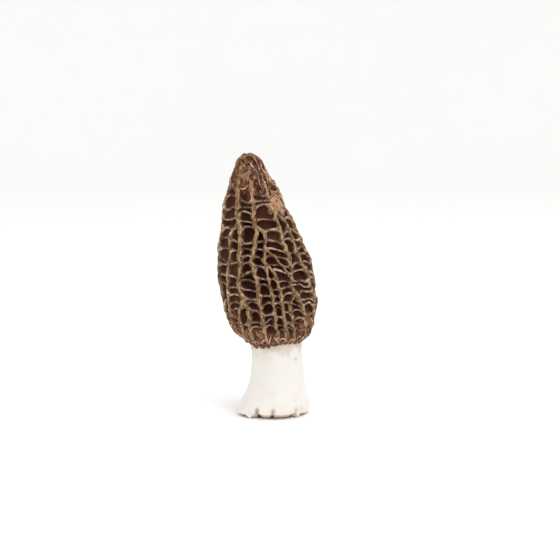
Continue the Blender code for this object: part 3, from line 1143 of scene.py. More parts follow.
    def rounded(self, pit: Pit, across0: Array, up0: Array, inset: float, most: float) -> tuple[Array, Array]:
        """Lays a ring of a pit at a distance inside the edge of its round-cornered opening.

        Args:
            pit: the pit.
            across0: for each point of the crests round the pit its share of the way across.
            up0: for each of them its share of the way up.
            inset: the distance in millimetres.
            most: the most of the pit's size that the distance may take.

        Returns:
            The ring's shares across and its levels.
        """
        net, low, high, least = self.net, pit.low, pit.high, self.least_share
        level = lerp(low.level(across0), high.level(across0), up0)
        width = net.width(pit.column, level)
        left = np.clip((net.half_width(pit.column, level) + inset) / width, least, most)
        right = np.clip((net.half_width(pit.column + 1, level) + inset) / width, least, most)
        tall = high.level(across0) - low.level(across0)
        bottom = np.clip((low.kind.half_width + inset) / tall, least, most)
        top = np.clip((high.kind.half_width + inset) / tall, least, most)
        wide_room, tall_room = (1 - left - right) * width, (1 - bottom - top) * tall
        turn = self.corner_radius(wide_room + 2 * inset, tall_room + 2 * inset) - inset
        turn = np.clip(turn, 0.0, 0.5 * np.minimum(wide_room, tall_room))
        x, y = across0 * wide_room, up0 * tall_room
        side, end = np.minimum(x, wide_room - x), np.minimum(y, tall_room - y)
        side_gap, end_gap = np.maximum(turn - side, 0.0), np.maximum(turn - end, 0.0)
        cornered = (side_gap > 0) & (end_gap > 0)
        shrink = np.where(cornered, turn / np.maximum(np.hypot(side_gap, end_gap), 1e-6), 1.0)
        x = x + np.where(across0 < 0.5, 1, -1) * side_gap * (1 - shrink)
        y = y + np.where(up0 < 0.5, 1, -1) * end_gap * (1 - shrink)
        across = left + x / width
        return across, lerp(low.level(across), high.level(across), bottom + y / tall)

    def sink(self, pit: Pit) -> None:
        """Makes the rings and the floor of a pit."""
        crests, across0, up0 = self.outline(pit)
        places = [self.rounded(pit, across0, up0, *edge) for edge in zip(self.ring_insets, self.ring_shares)]
        half = np.array([0.5])
        places.append((half, lerp(pit.low.level(half), pit.high.level(half), half)))
        made = [self.add(pit.column, *place, *self.relief(pit, *place)) for place in places]
        self.mesh.bands([crests, *made[:-1]])
        self.mesh.fan(made[-2], made[-1])

    def end_ring(self, kind: CrossKind) -> Array:
        """Gathers the closed ring of points along the rim or round the tip.

        Args:
            kind: RIM or TOP.

        Returns:
            The points' numbers, in order round the cap.
        """
        ends = [pits[0].low if kind is CrossKind.RIM else pits[-1].high for pits in self.net.columns]
        rings = [self.path(column, end)[0][:-1] for column, end in enumerate(ends) if end.kind is kind]
        return np.concatenate(rings).astype(int)

    def close_tip(self) -> None:
        """Closes the tip with wrinkled rings up to its pole."""
        surface, rings = self.net.surface, [self.end_ring(CrossKind.TOP)]
        start = np.concatenate(self.mesh.points)[rings[0]] / MM
        angle = np.degrees(np.arctan2(start[:, 0] - surface.line.offset(start[:, 2]), -start[:, 1]))
        for share in np.arange(1, self.tip_rings) / self.tip_rings:
            level = lerp(float(surface.top), surface.length, share)
            folds = 0.35 * (1 - share) * np.sin(np.radians(angle * 9 + 60 * share))
            goal = surface.point(angle, np.full(len(angle), level), folds - self.tip_sink - 0.6 * share)
            rings.append(self.plain(lerp(goal, wobbled(goal), 1 - share), 0.05, level / surface.length))
        self.mesh.bands(rings)
        pole = surface.line.placed(0.0, 0.0, surface.outline[-1][1] - self.pole_sink)
        self.mesh.fan(rings[-1], self.plain(pole, 0.0, 1.0))

    def close_below(self) -> None:
        """Rolls the rim under, sinks the socket for the stem and closes the hollow."""
        line, rings = self.net.surface.line, [self.end_ring(CrossKind.RIM)]
        start = np.concatenate(self.mesh.points)[rings[0]]
        angle = np.degrees(np.arctan2(start[:, 0] - line.offset(self.joint_height) * MM, -start[:, 1]))
        goal = line.placed(angle, self.socket_radius, self.joint_height)
        for share in np.arange(1, self.under_rings + 1) / self.under_rings:
            points = lerp(start, goal, share)
            roll = self.under_roll * math.sin(math.pi * share) * (1 + 0.5 * wave(angle / 6, SEED))
            points[:, 2] -= roll * MM * (1 - share)
            rings.append(self.plain(points, 0.25 + 0.5 * share, 0.0))
        for height in (self.joint_height, *np.linspace(36.0, 97.0, 22)):
            points = line.placed(angle, radius_at(self.hollow, height), height)
            rings.append(self.plain(points, 0.9, -1.0))
        self.mesh.bands(rings)
        self.mesh.fan(rings[-1], self.plain(line.placed(0.0, 0.0, self.hollow[-1][1]), 0.9, -1.0))

    def build(self, material: Material) -> Thing:
        """Makes the flesh, with its outside wrinkled.

        Args:
            material: its finish.

        Returns:
            The piece, which stands for the solid cap.
        """
        for pits in self.net.columns:
            for pit in pits:
                self.sink(pit)
        self.close_tip()
        self.close_below()
        sizes = {"Fold size": 2.6, "Fold height": 1.2, "Grain size": 1.0, "Grain height": 0.26}
        tree = GrowthTree("cap_wrinkles", material, sizes)
        graph, up = tree.graph, tree.named("up")
        outside = graph.math("GREATER_THAN", up, -0.5)
        ends = graph.plus(graph.span(up, 0.80, 0.97, 0.35, 1.0), graph.span(up, 0.0, 0.12, 0.65, 0.0))
        folds = graph.times(ends, outside, tree.put("Fold height"))
        grain = graph.times(outside, tree.put("Grain height"))
        body = tree.rough(tree.rough(tree.put("Geometry"), "Fold size", folds), "Grain size", grain)
        return dressed(tree.baked(self.mesh.made("cap_flesh"), body), "cap")


@dataclass
class RibMaker:
    """Sweeps a small closed profile along lines on the cap.

    The profile is rows of (across, up, lip) in shares of the rib's half width, and lip marks its edges, which
    the finish paints pale, partly as painted highlight.
    sizes are its fineness along the line, the size and height of its lumps, and those of its crumbs.
    """

    name: str
    surface: CrestSurface
    profile: tuple[Triple, ...]
    sizes: tuple[float, ...]
    lines: MeshMaker = field(default_factory=MeshMaker)

    def line(self, angle: Array, level: Array, rise: Array, size: Array) -> None:
        """Adds one line that a rib follows.

        Args:
            angle: the angle of each of its points.
            level: their levels.
            rise: how far they stand outside the crests.
            size: the rib's half width there.
        """
        surface = self.surface
        values = {"outward": surface.outward(angle, level), "size": size * MM, "up": level / surface.length}
        self.lines.chain(self.lines.add(wobbled(surface.point(angle, level, rise)), **values))

    def cutter(self) -> Thing:
        """Makes the closed line of the profile."""
        maker, rows = MeshMaker(), np.array(self.profile)
        points = np.stack([rows[:, 1], rows[:, 0], np.zeros(len(rows))], axis=1)
        maker.chain(maker.add(points, lip=rows[:, 2]), closed=True)
        return maker.made(self.name + "_profile")

    def build(self, material: Material) -> Thing:
        """Sweeps the profile along the lines.

        Args:
            material: the ribs' finish.

        Returns:
            One piece with all of them.
        """
        profile = self.cutter()
        labels = ("Step", "Lump size", "Lump height", "Crumb size", "Crumb height")
        tree = GrowthTree(self.name + "_ribs", material, dict(zip(labels, self.sizes)), {"Profile": profile})
        graph = tree.graph
        curve = graph.out("GeometryNodeMeshToCurve", {"Mesh": tree.put("Geometry")})
        inputs = {"Curve": curve, "Length": tree.put("Step")}
        curve = graph.out("GeometryNodeResampleCurve", inputs, mode="LENGTH")
        inputs = {"Curve": curve, "Normal": tree.named("outward", "FLOAT_VECTOR")}
        curve = graph.out("GeometryNodeSetCurveNormal", inputs, mode="FREE")
        shape = graph.out("GeometryNodeObjectInfo", {"Object": tree.put("Profile")}, "Geometry")
        shape = graph.out("GeometryNodeMeshToCurve", {"Mesh": shape})
        inputs = {"Curve": curve, "Profile Curve": shape, "Scale": tree.named("size"), "Fill Caps": True}
        rib = graph.out("GeometryNodeCurveToMesh", inputs)
        rib = tree.rough(rib, "Lump size", tree.put("Lump height"), 1.0)
        rib = tree.rough(rib, "Crumb size", tree.put("Crumb height"), 3.0)
        ribs = tree.baked(self.lines.made(self.name), rib)
        bpy.data.objects.remove(profile)
        faced_outward(ribs)
        return dressed(ribs)


@dataclass
class RidgeCrust:
    """The tan crust on the crown of each upright ridge, with a raised pale lip along both its edges."""

    net: RidgeNet
    share: float = 0.82
    step: float = 0.5
    sit: float = -0.14
    beyond: float = 2.2
    jitter: float = 0.14
    width_jitter: float = 0.16
    sizes: tuple[float, ...] = (0.26, 1.5, 0.62, 0.5, 0.30)
    profile: tuple[Triple, ...] = (
        *((-1.00, -0.10, 0.0), (-0.68, 0.34, 0.9), (-0.25, 0.30, 0.1), (0.25, 0.28, 0.1)),
        *((0.68, 0.36, 0.9), (1.00, -0.10, 0.0), (0.85, -0.80, 0.0), (-0.85, -0.80, 0.0)),
    )

    def trace(self, ribs: RibMaker, index: int) -> None:
        """Adds the line of one ridge.

        Args:
            ribs: what gathers the lines.
            index: which ridge.
        """
        net, branch = self.net, self.net.ridges[index].host is not None
        end = net.branch_level(index) + (0.0 if branch else self.beyond)
        level = np.arange(0.2, end + 0.01, self.step)
        draw = np.random.default_rng(SEED * 10 + index)
        draws = [draw.normal(size=len(level) + 2) for _ in range(2)]
        shift, rough = (np.convolve(row, (0.25, 0.5, 0.25), "valid") for row in draws)
        turn = np.degrees(shift * self.jitter / np.maximum(net.surface.radius(level), 2.0))
        rise = net.rise(index, level) + self.sit + 0.10 * wave(level * 3.1, SEED + 40 + index)
        size = 1 + rough * self.width_jitter + 0.2 * wave(level * 1.3, SEED + 70 + index)
        size = self.share * net.half_width(index, level) * size
        size *= np.interp(level, (0.0, 3.0, end - 3.0, end), (0.6, 1.0, 1.0, 0.75 if branch else 0.5))
        ribs.line(net.angle(index, level) + turn, level, rise, size)

    def build(self, material: Material) -> Thing:
        """Makes the crust of all ridges as one piece."""
        ribs = RibMaker("ridge_crust", self.net.surface, self.profile, self.sizes)
        for index in range(len(self.net.ridges)):
            self.trace(ribs, index)
        return ribs.build(material)


@dataclass
class StrayRidges:
    """Short ridges that cross a column or stand alone in it, each on a thin wall of its own.

    Each is a row of (angle, height) places. Its half width has a knob near its upper end.
    """

    surface: CrestSurface
    places: tuple[Knots, ...] = (
        ((7.0, 73.5), (11.0, 71.6), (17.5, 68.8), (20.5, 66.4), (26.0, 64.2), (30.0, 62.0)),
        ((104.0, 72.0), (110.0, 70.0), (116.0, 66.0), (122.0, 64.0)),
        ((152.0, 60.0), (157.0, 57.0), (163.0, 54.0)),
        ((202.0, 78.0), (208.0, 75.0), (214.0, 70.0)),
        ((234.0, 48.0), (239.0, 45.6), (246.0, 44.0)),
    )
    half_width: float = 0.28
    knob: float = 0.22
    knob_place: int = 10
    sizes: tuple[float, ...] = (0.26, 1.2, 0.5, 0.45, 0.28)
    blade: tuple[Triple, ...] = (
        *((-1.00, -0.10, 0.0), (-0.70, 0.20, 0.5), (0.10, 0.30, 0.3), (0.70, 0.16, 0.5), (1.00, -0.10, 0.0)),
        *((0.70, -1.5, 0.0), (1.30, -7.0, 0.0), (-1.30, -7.0, 0.0), (-0.70, -1.5, 0.0)),
    )

    def build(self, material: Material) -> Thing:
        """Makes all of them as one piece."""
        ribs, surface = RibMaker("stray_ridges", self.surface, self.blade, self.sizes), self.surface
        for knots in self.places:
            rows = smooth_outline(knots, 8)
            place = np.arange(len(rows))
            level = np.interp(rows[:, 1], surface.rows[:, 1], surface.along)
            size = self.half_width + self.knob * np.exp(-((place - self.knob_place) ** 2) / 30.0)
            ribs.line(rows[:, 0], level, -0.35 + 0.20 * np.sin(place * 0.7), size)
        return ribs.build(material)


CALM_SPOTS = (
    Swelling(-36.0, 104.0, 17.0, 2.2, 1.0),
    Swelling(-20.0, 97.8, 13.0, 1.2, 0.6),
    Swelling(70.0, 101.0, 16.0, 1.6, 0.9),
    Swelling(150.0, 104.5, 20.0, 1.9, 1.0),
    Swelling(-125.0, 100.5, 15.0, 1.7, 0.9),
    Swelling(6.0, 33.6, 6.0, 1.4, 0.9),
    Swelling(-64.0, 40.5, 7.0, 2.2, 0.8),
    Swelling(120.0, 34.5, 8.0, 1.6, 0.9),
    Swelling(-160.0, 34.0, 8.0, 1.6, 0.9),
)


class Form(Enum):
    """What a zone of wrinkles covers: all of the tip, the rim all the way round, or a round patch."""

    TIP = "tip"
    RIM = "rim"
    PATCH = "patch"


@dataclass(frozen=True)
class WrinkleZone:
    """Where small wrinkled hollows take the place of the net, in millimetres and degrees.

    Attributes: its form, the heights where it starts and ends, how far it stands out of the crests, the size
    of a hollow and its length as a factor on that, the share that has knobs in place of hollows, the height
    of its folds, how much of that height the hollows keep, the size and height of its lumps, how far in from
    its edge it reaches its full height, for a patch the angle of its middle, and how deep its edge dives.
    """

    name: str
    form: Form
    low: float
    high: float
    sit: float
    cell: float
    stretch: float
    knobs: float
    fold: float
    kept: float
    lump_size: float
    lump: float
    fade: float
    middle: float = 0.0
    dive: float = 2.6

    def faded(self, away: Array) -> Array:
        """Gives how much the folds stand at a distance from the zone's edge."""
        return eased(np.clip(away / self.fade, 0.0, 1.0))

    def rise(self, fade: Array) -> Array:
        """Gives how far the skin stands out of the crests where its folds have faded so far."""
        return self.sit - self.dive * (1 - fade) ** 2


WRINKLE_ZONES = (
    WrinkleZone("cap_tip", Form.TIP, 92.0, 110.5, -0.95, 2.3, 2.6, 0.30, 0.65, 0.30, 4.6, 2.0, 8.0),
    WrinkleZone("cap_rim", Form.RIM, 31.4, 39.5, -0.85, 2.1, 1.2, 0.30, 0.55, 0.25, 4.0, 1.6, 5.5),
    WrinkleZone(
        *("cap_shoulder", Form.PATCH, 82.8, 97.0, -0.45),
        *(1.7, 1.5, 0.50, 0.50, 0.35, 2.2, 1.7, 4.8, 50.5, 3.9),
    ),
    WrinkleZone(
        *("cap_left_swelling", Form.PATCH, 34.0, 46.5, -0.9),
        *(2.2, 1.0, 0.7, 0.6, 0.30, 4.0, 2.2, 3.4, -62.0),
    ),
    WrinkleZone(
        *("cap_right_swelling", Form.PATCH, 33.5, 45.5, -0.9),
        *(1.9, 1.0, 0.5, 0.65, 0.25, 3.5, 2.0, 3.4, 56.0),
    ),
)


@dataclass
class Strands:
    """The lines of the strong folds: strands that wander down the tip, and the outlines of the rim's lobes.

    Each strand is a row of (angle, height) places. More of them are laid by a seeded rule round the back,
    over an arc that starts at an angle. A lobe's outline is (share across, share up) places, and it hangs
    less the higher a place is, and not at all hang_reach above the rim.
    """

    surface: CrestSurface
    strands: tuple[Knots, ...] = (
        ((0.0, 104.3), (9.7, 103.8), (11.6, 102.6), (4.6, 101.4), (-2.0, 100.6)),
        ((9.0, 98.0), (12.0, 98.9), (17.0, 98.4), (17.0, 97.0), (12.0, 96.5)),
        ((-17.0, 108.3), (9.5, 105.9), (22.0, 102.6), (24.6, 98.6), (34.0, 95.0)),
        ((20.0, 108.6), (36.0, 105.0), (35.0, 101.5), (42.0, 98.0), (40.0, 95.0)),
        ((46.0, 107.5), (50.0, 104.3), (53.0, 101.0), (51.0, 97.0)),
        ((76.0, 107.0), (70.0, 103.0), (68.0, 99.0), (70.0, 94.1)),
        ((-62.0, 101.5), (-52.0, 99.4), (-38.0, 98.9), (-26.0, 99.6)),
        ((-58.0, 107.0), (-40.0, 106.9), (-22.0, 105.4), (-16.0, 102.8)),
        ((-31.0, 97.5), (-24.0, 96.4), (-10.0, 97.2), (0.0, 99.2)),
        ((-70.0, 106.0), (-72.0, 102.0), (-66.0, 98.0), (-70.0, 95.0)),
    )
    behind: int = 12
    behind_start: float = 84.0
    behind_arc: float = 200.0
    end_dive: float = 0.6
    swell: float = 0.18
    lobe: Knots = ((0.0, -0.2), (0.06, 0.55), (0.33, 1.0), (0.68, 0.92), (0.95, 0.5), (1.0, -0.2))
    lobe_width: Pair = (10.0, 23.0)
    lobe_height: Pair = (3.5, 7.0)
    lobe_hang: Pair = (0.2, 1.1)
    hang_reach: float = 4.0
    lobes: list[tuple[float, float, float, float]] = field(default_factory=list)

    def __post_init__(self) -> None:
        """Lays out the lobes as rows of start, end, height and hang."""
        draw = random.Random(SEED * 17)
        angle = -180.0
        while angle < 171.0:
            end = min(180.0, angle + draw.uniform(*self.lobe_width))
            self.lobes.append((angle, end, draw.uniform(*self.lobe_height), draw.uniform(*self.lobe_hang)))
            angle = end

    def behind_strands(self) -> list[Knots]:
        """Lays the strands round the back."""
        draw = random.Random(SEED * 13)
        found = []
        for number in range(self.behind):
            angle = self.behind_start + self.behind_arc * number / self.behind + draw.uniform(-5, 5)
            height, end = draw.uniform(101, 109), draw.uniform(94, 99)
            knots = [(angle, height)]
            while height > end:
                angle += draw.uniform(-11, 11)
                height -= draw.uniform(1.2, 3.6)
                knots.append((angle, height))
            found.append(tuple(knots))
        return found

    def hang(self, angle: Array, level: Array | float = 0.0) -> Array:
        """Gives how far the rim hangs down at some places, by its lobes, in metres."""
        found = np.zeros_like(angle)
        for start, end, _, hang in self.lobes:
            share = np.clip((angle - start) / (end - start), 0.0, 1.0)
            found += hang * 4 * share * (1 - share)
        return found * np.maximum(0.0, 1 - level / self.hang_reach) * MM

    def lobe_lines(self) -> list[Knots]:
        """Gives the outline of each lobe as a row of (angle, level) places."""
        return [
            tuple((start + (end - start) * across, max(0.1, tall * up)) for across, up in self.lobe)
            for start, end, tall, _ in self.lobes
        ]

    def drawn(self, zone: WrinkleZone) -> Thing:
        """Draws the lines of a zone.

        Args:
            zone: the tip or the rim.

        Returns:
            An object of edges alone, which is taken away once the skin is folded along it.
        """
        mesh, surface = MeshMaker(), self.surface
        tip = zone.form is Form.TIP
        edge = float(surface.level_at(zone.low if tip else zone.high))
        for knots in [*self.strands, *self.behind_strands()] if tip else self.lobe_lines():
            rows = smooth_outline(knots, 8)
            level = np.interp(rows[:, 1], surface.rows[:, 1], surface.along) if tip else rows[:, 1]
            rise = zone.rise(zone.faded(np.abs(level - edge)))
            ends = np.abs(np.linspace(-1, 1, len(rows))) ** 4
            swell = self.swell * (1 + wave(level * 1.7 + rows[0, 0], SEED + 60))
            rise = rise - self.end_dive * ends * tip - swell
            points = wobbled(surface.point(rows[:, 0], level, rise))
            if not tip:
                points[:, 2] -= self.hang(rows[:, 0], level)
            mesh.chain(mesh.add(points))
        return mesh.made(zone.name + "_strands")


@dataclass
class Wrinkles:
    """A skin of wrinkled folds that rises out of the flesh: at the tip, along the rim or on a swollen patch.

    step is the size of a face before it is folded. inner_rise is how deep the closing faces lie, tip_cone how
    far the cone that closes the tip goes up, and front_drop how much lower the rim's folds end round
    front_angle. edge_waves are the number, height and start of the waves of a patch's edge.
    """

    surface: CrestSurface
    zone: WrinkleZone
    strands: Strands
    step: float = 0.27
    inner_rise: float = -2.0
    tip_cone: float = 6.0
    front_drop: float = 2.0
    front_angle: float = 6.0
    front_reach: float = 24.0
    edge_waves: tuple[Triple, ...] = ((3, 0.14, 1.0), (5, 0.10, 0.0), (11, 0.06, 0.0))
    strand_width: float = 0.80
    strand_height: float = 0.80
    crumb_size: float = 0.6
    crumb_height: float = 0.22
    mesh: MeshMaker = field(default_factory=MeshMaker)

    def ring(self, angle: Array, level: Array, fade: Array) -> Array:
        """Adds a ring of points that dives into the flesh where it fades.

        Args:
            angle: the points' angles.
            level: their levels.
            fade: 1 where the folds stand in full, 0 where they are gone.

        Returns:
            The points' numbers.
        """
        surface, rough = self.surface, np.ones(len(angle))
        for spot in CALM_SPOTS:
            rough = rough * (1 - spot.share(angle, surface.height(level)))
        points = wobbled(surface.point(angle, level, self.zone.rise(fade)))
        if self.zone.form is Form.RIM:
            points[:, 2] -= self.strands.hang(angle, level)
        return self.mesh.add(points, fade=fade, calm=1 - rough, up=level / surface.length)

    def hidden(self, points: Array, fade: float, up: float, hang: Array | float = 0.0) -> Array:
        """Adds points that close the skin inside the flesh or at its pole.

        Args:
            points: the points.
            fade: how far the folds stand there.
            up: the surface value up.
            hang: how far the points hang down, in metres.

        Returns:
            The points' numbers.
        """
        points = wobbled(np.atleast_2d(points))
        points[:, 2] -= hang
        return self.mesh.add(points, fade=fade, calm=0.0, up=up)

    def around(self, level: float) -> Array:
        """Gives evenly spaced angles all the way round, as many as the girth at a level needs."""
        count = round(math.tau * float(self.surface.radius(level)) / self.step)
        return np.linspace(-180, 180, count, endpoint=False)

    def tip(self) -> None:
        """Makes the skin of the tip, closed below by a cone inside the flesh."""
        surface, zone, rings = self.surface, self.zone, []
        start = float(surface.level_at(zone.low))
        angle = self.around(start)
        for level in np.arange(start, surface.length - 0.3, self.step):
            fade = zone.faded(level - start + 0.7 * wave(angle / 6, SEED + 21))
            rings.append(self.ring(angle, level + 0 * angle, fade))
        self.mesh.bands(rings)
        ends = ((rings[-1], surface.outline[-1][1] + zone.sit + 0.1), (rings[0], zone.low + self.tip_cone))
        for ring, height in ends:
            self.mesh.fan(ring, self.hidden(surface.line.placed(0.0, 0.0, height), 1.0, 1.0))

    def rim(self) -> None:
        """Makes the skin along the rim, closed round its back inside the flesh."""
        surface, zone, rings = self.surface, self.zone, []
        top = float(surface.level_at(zone.high))
        angle = self.around(top / 2)
        flat = 0 * angle
        front = self.front_drop * bell(angle - self.front_angle, self.front_reach)
        for level in np.arange(top, 0.0, -self.step):
            fade = zone.faded(top - level - front + 1.6 * wave(angle / 5, SEED + 22))
            rings.append(self.ring(angle, level + flat, fade))
        for rise in np.linspace(zone.sit, self.inner_rise, 7)[1:]:
            points = surface.point(angle, flat + 0.3, flat + rise)
            rings.append(self.hidden(points, 0.5, 0.0, self.strands.hang(angle)))
        for level in np.linspace(1.0, top, 8):
            points = surface.point(angle, level + flat, flat + zone.sit - zone.dive - 0.5)
            rings.append(self.hidden(points, 0.0, 0.0))
        self.mesh.bands(rings, closed=True)

    def patch(self) -> None:
        """Makes the skin of a round patch, closed by a cone inside the flesh."""
        surface, zone, rings = self.surface, self.zone, []
        middle = float(np.interp((zone.low + zone.high) / 2, surface.rows[:, 1], surface.along))
        reach = (zone.high - zone.low) / 2
        turn = np.linspace(0, math.tau, round(math.tau * reach / self.step), endpoint=False)
        bulge = 1 + sum(share * np.sin(waves * turn + start) for waves, share, start in self.edge_waves)
        for far in np.arange(reach, self.step / 2, -self.step):
            edge = far * bulge
            level = middle + edge * np.cos(turn)
            angle = zone.middle + np.degrees(edge * np.sin(turn) / surface.radius(level))
            rings.append(self.ring(angle, level, zone.faded(reach - far + 0 * turn)))
        self.mesh.bands(rings)
        for ring, rise in ((rings[-1], zone.sit), (rings[0], self.inner_rise - 1.0)):
            point = surface.point(np.array([zone.middle]), np.array([middle]), rise)
            self.mesh.fan(ring, self.hidden(point, 1.0, middle / surface.length))

    def pattern(self, tree: GrowthTree) -> Socket:
        """Adds the pattern of folds round small hollows, some of which have knobs in their place.

        Args:
            tree: the tree to fill.

        Returns:
            The pattern, 1 on the folds and gone in the calm spots.
        """
        graph = tree.graph
        place = graph.out("GeometryNodeInputPosition")
        knobbly = graph.span(graph.plus(graph.noise(place, 5.0), tree.put("Knob share")), 0.92, 1.08)
        drift = graph.vector("SUBTRACT", graph.noise(place, 3.0, 2.0, "Color"), (0.5, 0.5, 0.5))
        place = graph.vector("ADD", place, graph.scaled(drift, 0.005))
        across = graph.math("DIVIDE", 1.0, tree.put("Hollow size"))
        along = graph.math("DIVIDE", 1.0, tree.put("Hollow length"))
        factors = graph.out("ShaderNodeCombineXYZ", {0: across, 1: across, 2: along})
        inputs = {"Vector": graph.vector("MULTIPLY", place, factors), "Scale": 1.0, "Randomness": 1.0}
        edge = graph.out("ShaderNodeTexVoronoi", inputs, "Distance", feature="DISTANCE_TO_EDGE")
        fold, knob = graph.span(edge, 0.0, 0.28, 1.0, tree.put("Hollow share")), graph.span(edge, 0.0, 0.22)
        fold = graph.out("ShaderNodeMix", {0: knobbly, 2: fold, 3: knob}, data_type="FLOAT")
        return graph.times(fold, graph.math("SUBTRACT", 1.0, tree.named("calm")))

    def folded(self, tree: GrowthTree) -> Socket:
        """Folds the skin along its strands and round its hollows.

        Args:
            tree: the tree to fill, which has the input Strands unless the zone is a patch.

        Returns:
            The folded skin.
        """
        graph, body, fold = tree.graph, tree.put("Geometry"), self.pattern(tree)
        if "Strands" in tree.others:
            width = tree.put("Strand width")
            lines = graph.out("GeometryNodeObjectInfo", {"Object": tree.put("Strands")}, "Geometry")
            near = graph.out("GeometryNodeProximity", {0: lines}, "Distance", target_element="EDGES")
            strand = graph.math("POWER", graph.span(near, 0.0, width, 1.0, 0.0), 1.5)
            fold = graph.times(fold, graph.span(near, 0.0, graph.times(width, 1.8)))
            body = tree.stored(body, "strand", strand)
        body, fade = tree.stored(body, "fold", fold), tree.named("fade")
        body = tree.rough(body, "Lump size", graph.times(tree.put("Lump height"), fade), 1.0)
        folds = graph.times(tree.named("fold"), tree.put("Fold height"))
        strands = graph.times(tree.named("strand"), tree.put("Strand height"))
        body = tree.pushed(body, graph.times(graph.plus(folds, strands), fade))
        return tree.rough(body, "Crumb size", tree.put("Crumb height"), 3.0)

    def build(self, material: Material) -> Thing:
        """Makes the skin.

        Args:
            material: its finish.

        Returns:
            The piece.
        """
        zone = self.zone
        {Form.TIP: self.tip, Form.RIM: self.rim, Form.PATCH: self.patch}[zone.form]()
        sizes = {
            "Hollow size": zone.cell,
            "Hollow length": zone.cell * zone.stretch,
            "Fold height": zone.fold,
            "Lump size": zone.lump_size,
            "Lump height": zone.lump,
            "Crumb size": self.crumb_size,
            "Crumb height": self.crumb_height,
            "Strand width": self.strand_width,
            "Strand height": self.strand_height,
        }
        others = {"Knob share": zone.knobs, "Hollow share": zone.kept}
        if zone.form is not Form.PATCH:
            others["Strands"] = self.strands.drawn(zone)
        tree = GrowthTree(zone.name + "_folds", material, sizes, others)
        skin = tree.baked(self.mesh.made(zone.name), self.folded(tree))
        if "Strands" in others:
            bpy.data.objects.remove(others["Strands"])
        return dressed(skin)


@dataclass
class Crumbs:
    """Small crumbs scattered in patches over a piece: their number on a square millimetre and their radii."""

    name: str
    density: float
    least: float
    most: float

    def build(self, carrier: Thing, material: Material) -> Thing:
        """Scatters the crumbs.

        Args:
            carrier: the piece that they lie on.
            material: their finish.

        Returns:
            One piece with all of them.
        """
        crumbs = linked(self.name, carrier.data.copy())
        sizes, others = {"Least": self.least, "Most": self.most}, {"Density": self.density / MM**2}
        tree = GrowthTree(self.name + "_scatter", material, sizes, others)
        graph = tree.graph
        patches = graph.span(graph.noise(graph.out("GeometryNodeInputPosition"), 3.5), 0.42, 0.62)
        outside = graph.math("GREATER_THAN", tree.named("up"), -0.5)
        density = graph.times(tree.put("Density"), patches, outside)
        inputs = {"Mesh": tree.put("Geometry"), "Density": density, "Seed": SEED}
        points = graph.add("GeometryNodeDistributePointsOnFaces", inputs).outputs
        ball = graph.out("GeometryNodeMeshIcoSphere", {"Radius": 1.0, "Subdivisions": 1})
        inputs = {0: (0.6, 0.6, 0.6), 1: (1.3, 1.3, 1.0), 8: 3}
        stretch = graph.out("FunctionNodeRandomValue", inputs, data_type="FLOAT_VECTOR")
        size = graph.out("FunctionNodeRandomValue", {2: tree.put("Least"), 3: tree.put("Most"), 8: 5}, 1)
        inputs = {"Points": points["Points"], "Instance": ball, "Rotation": points["Rotation"]}
        body = graph.out("GeometryNodeInstanceOnPoints", {**inputs, "Scale": graph.scaled(stretch, size)})
        return dressed(tree.baked(crumbs, body))


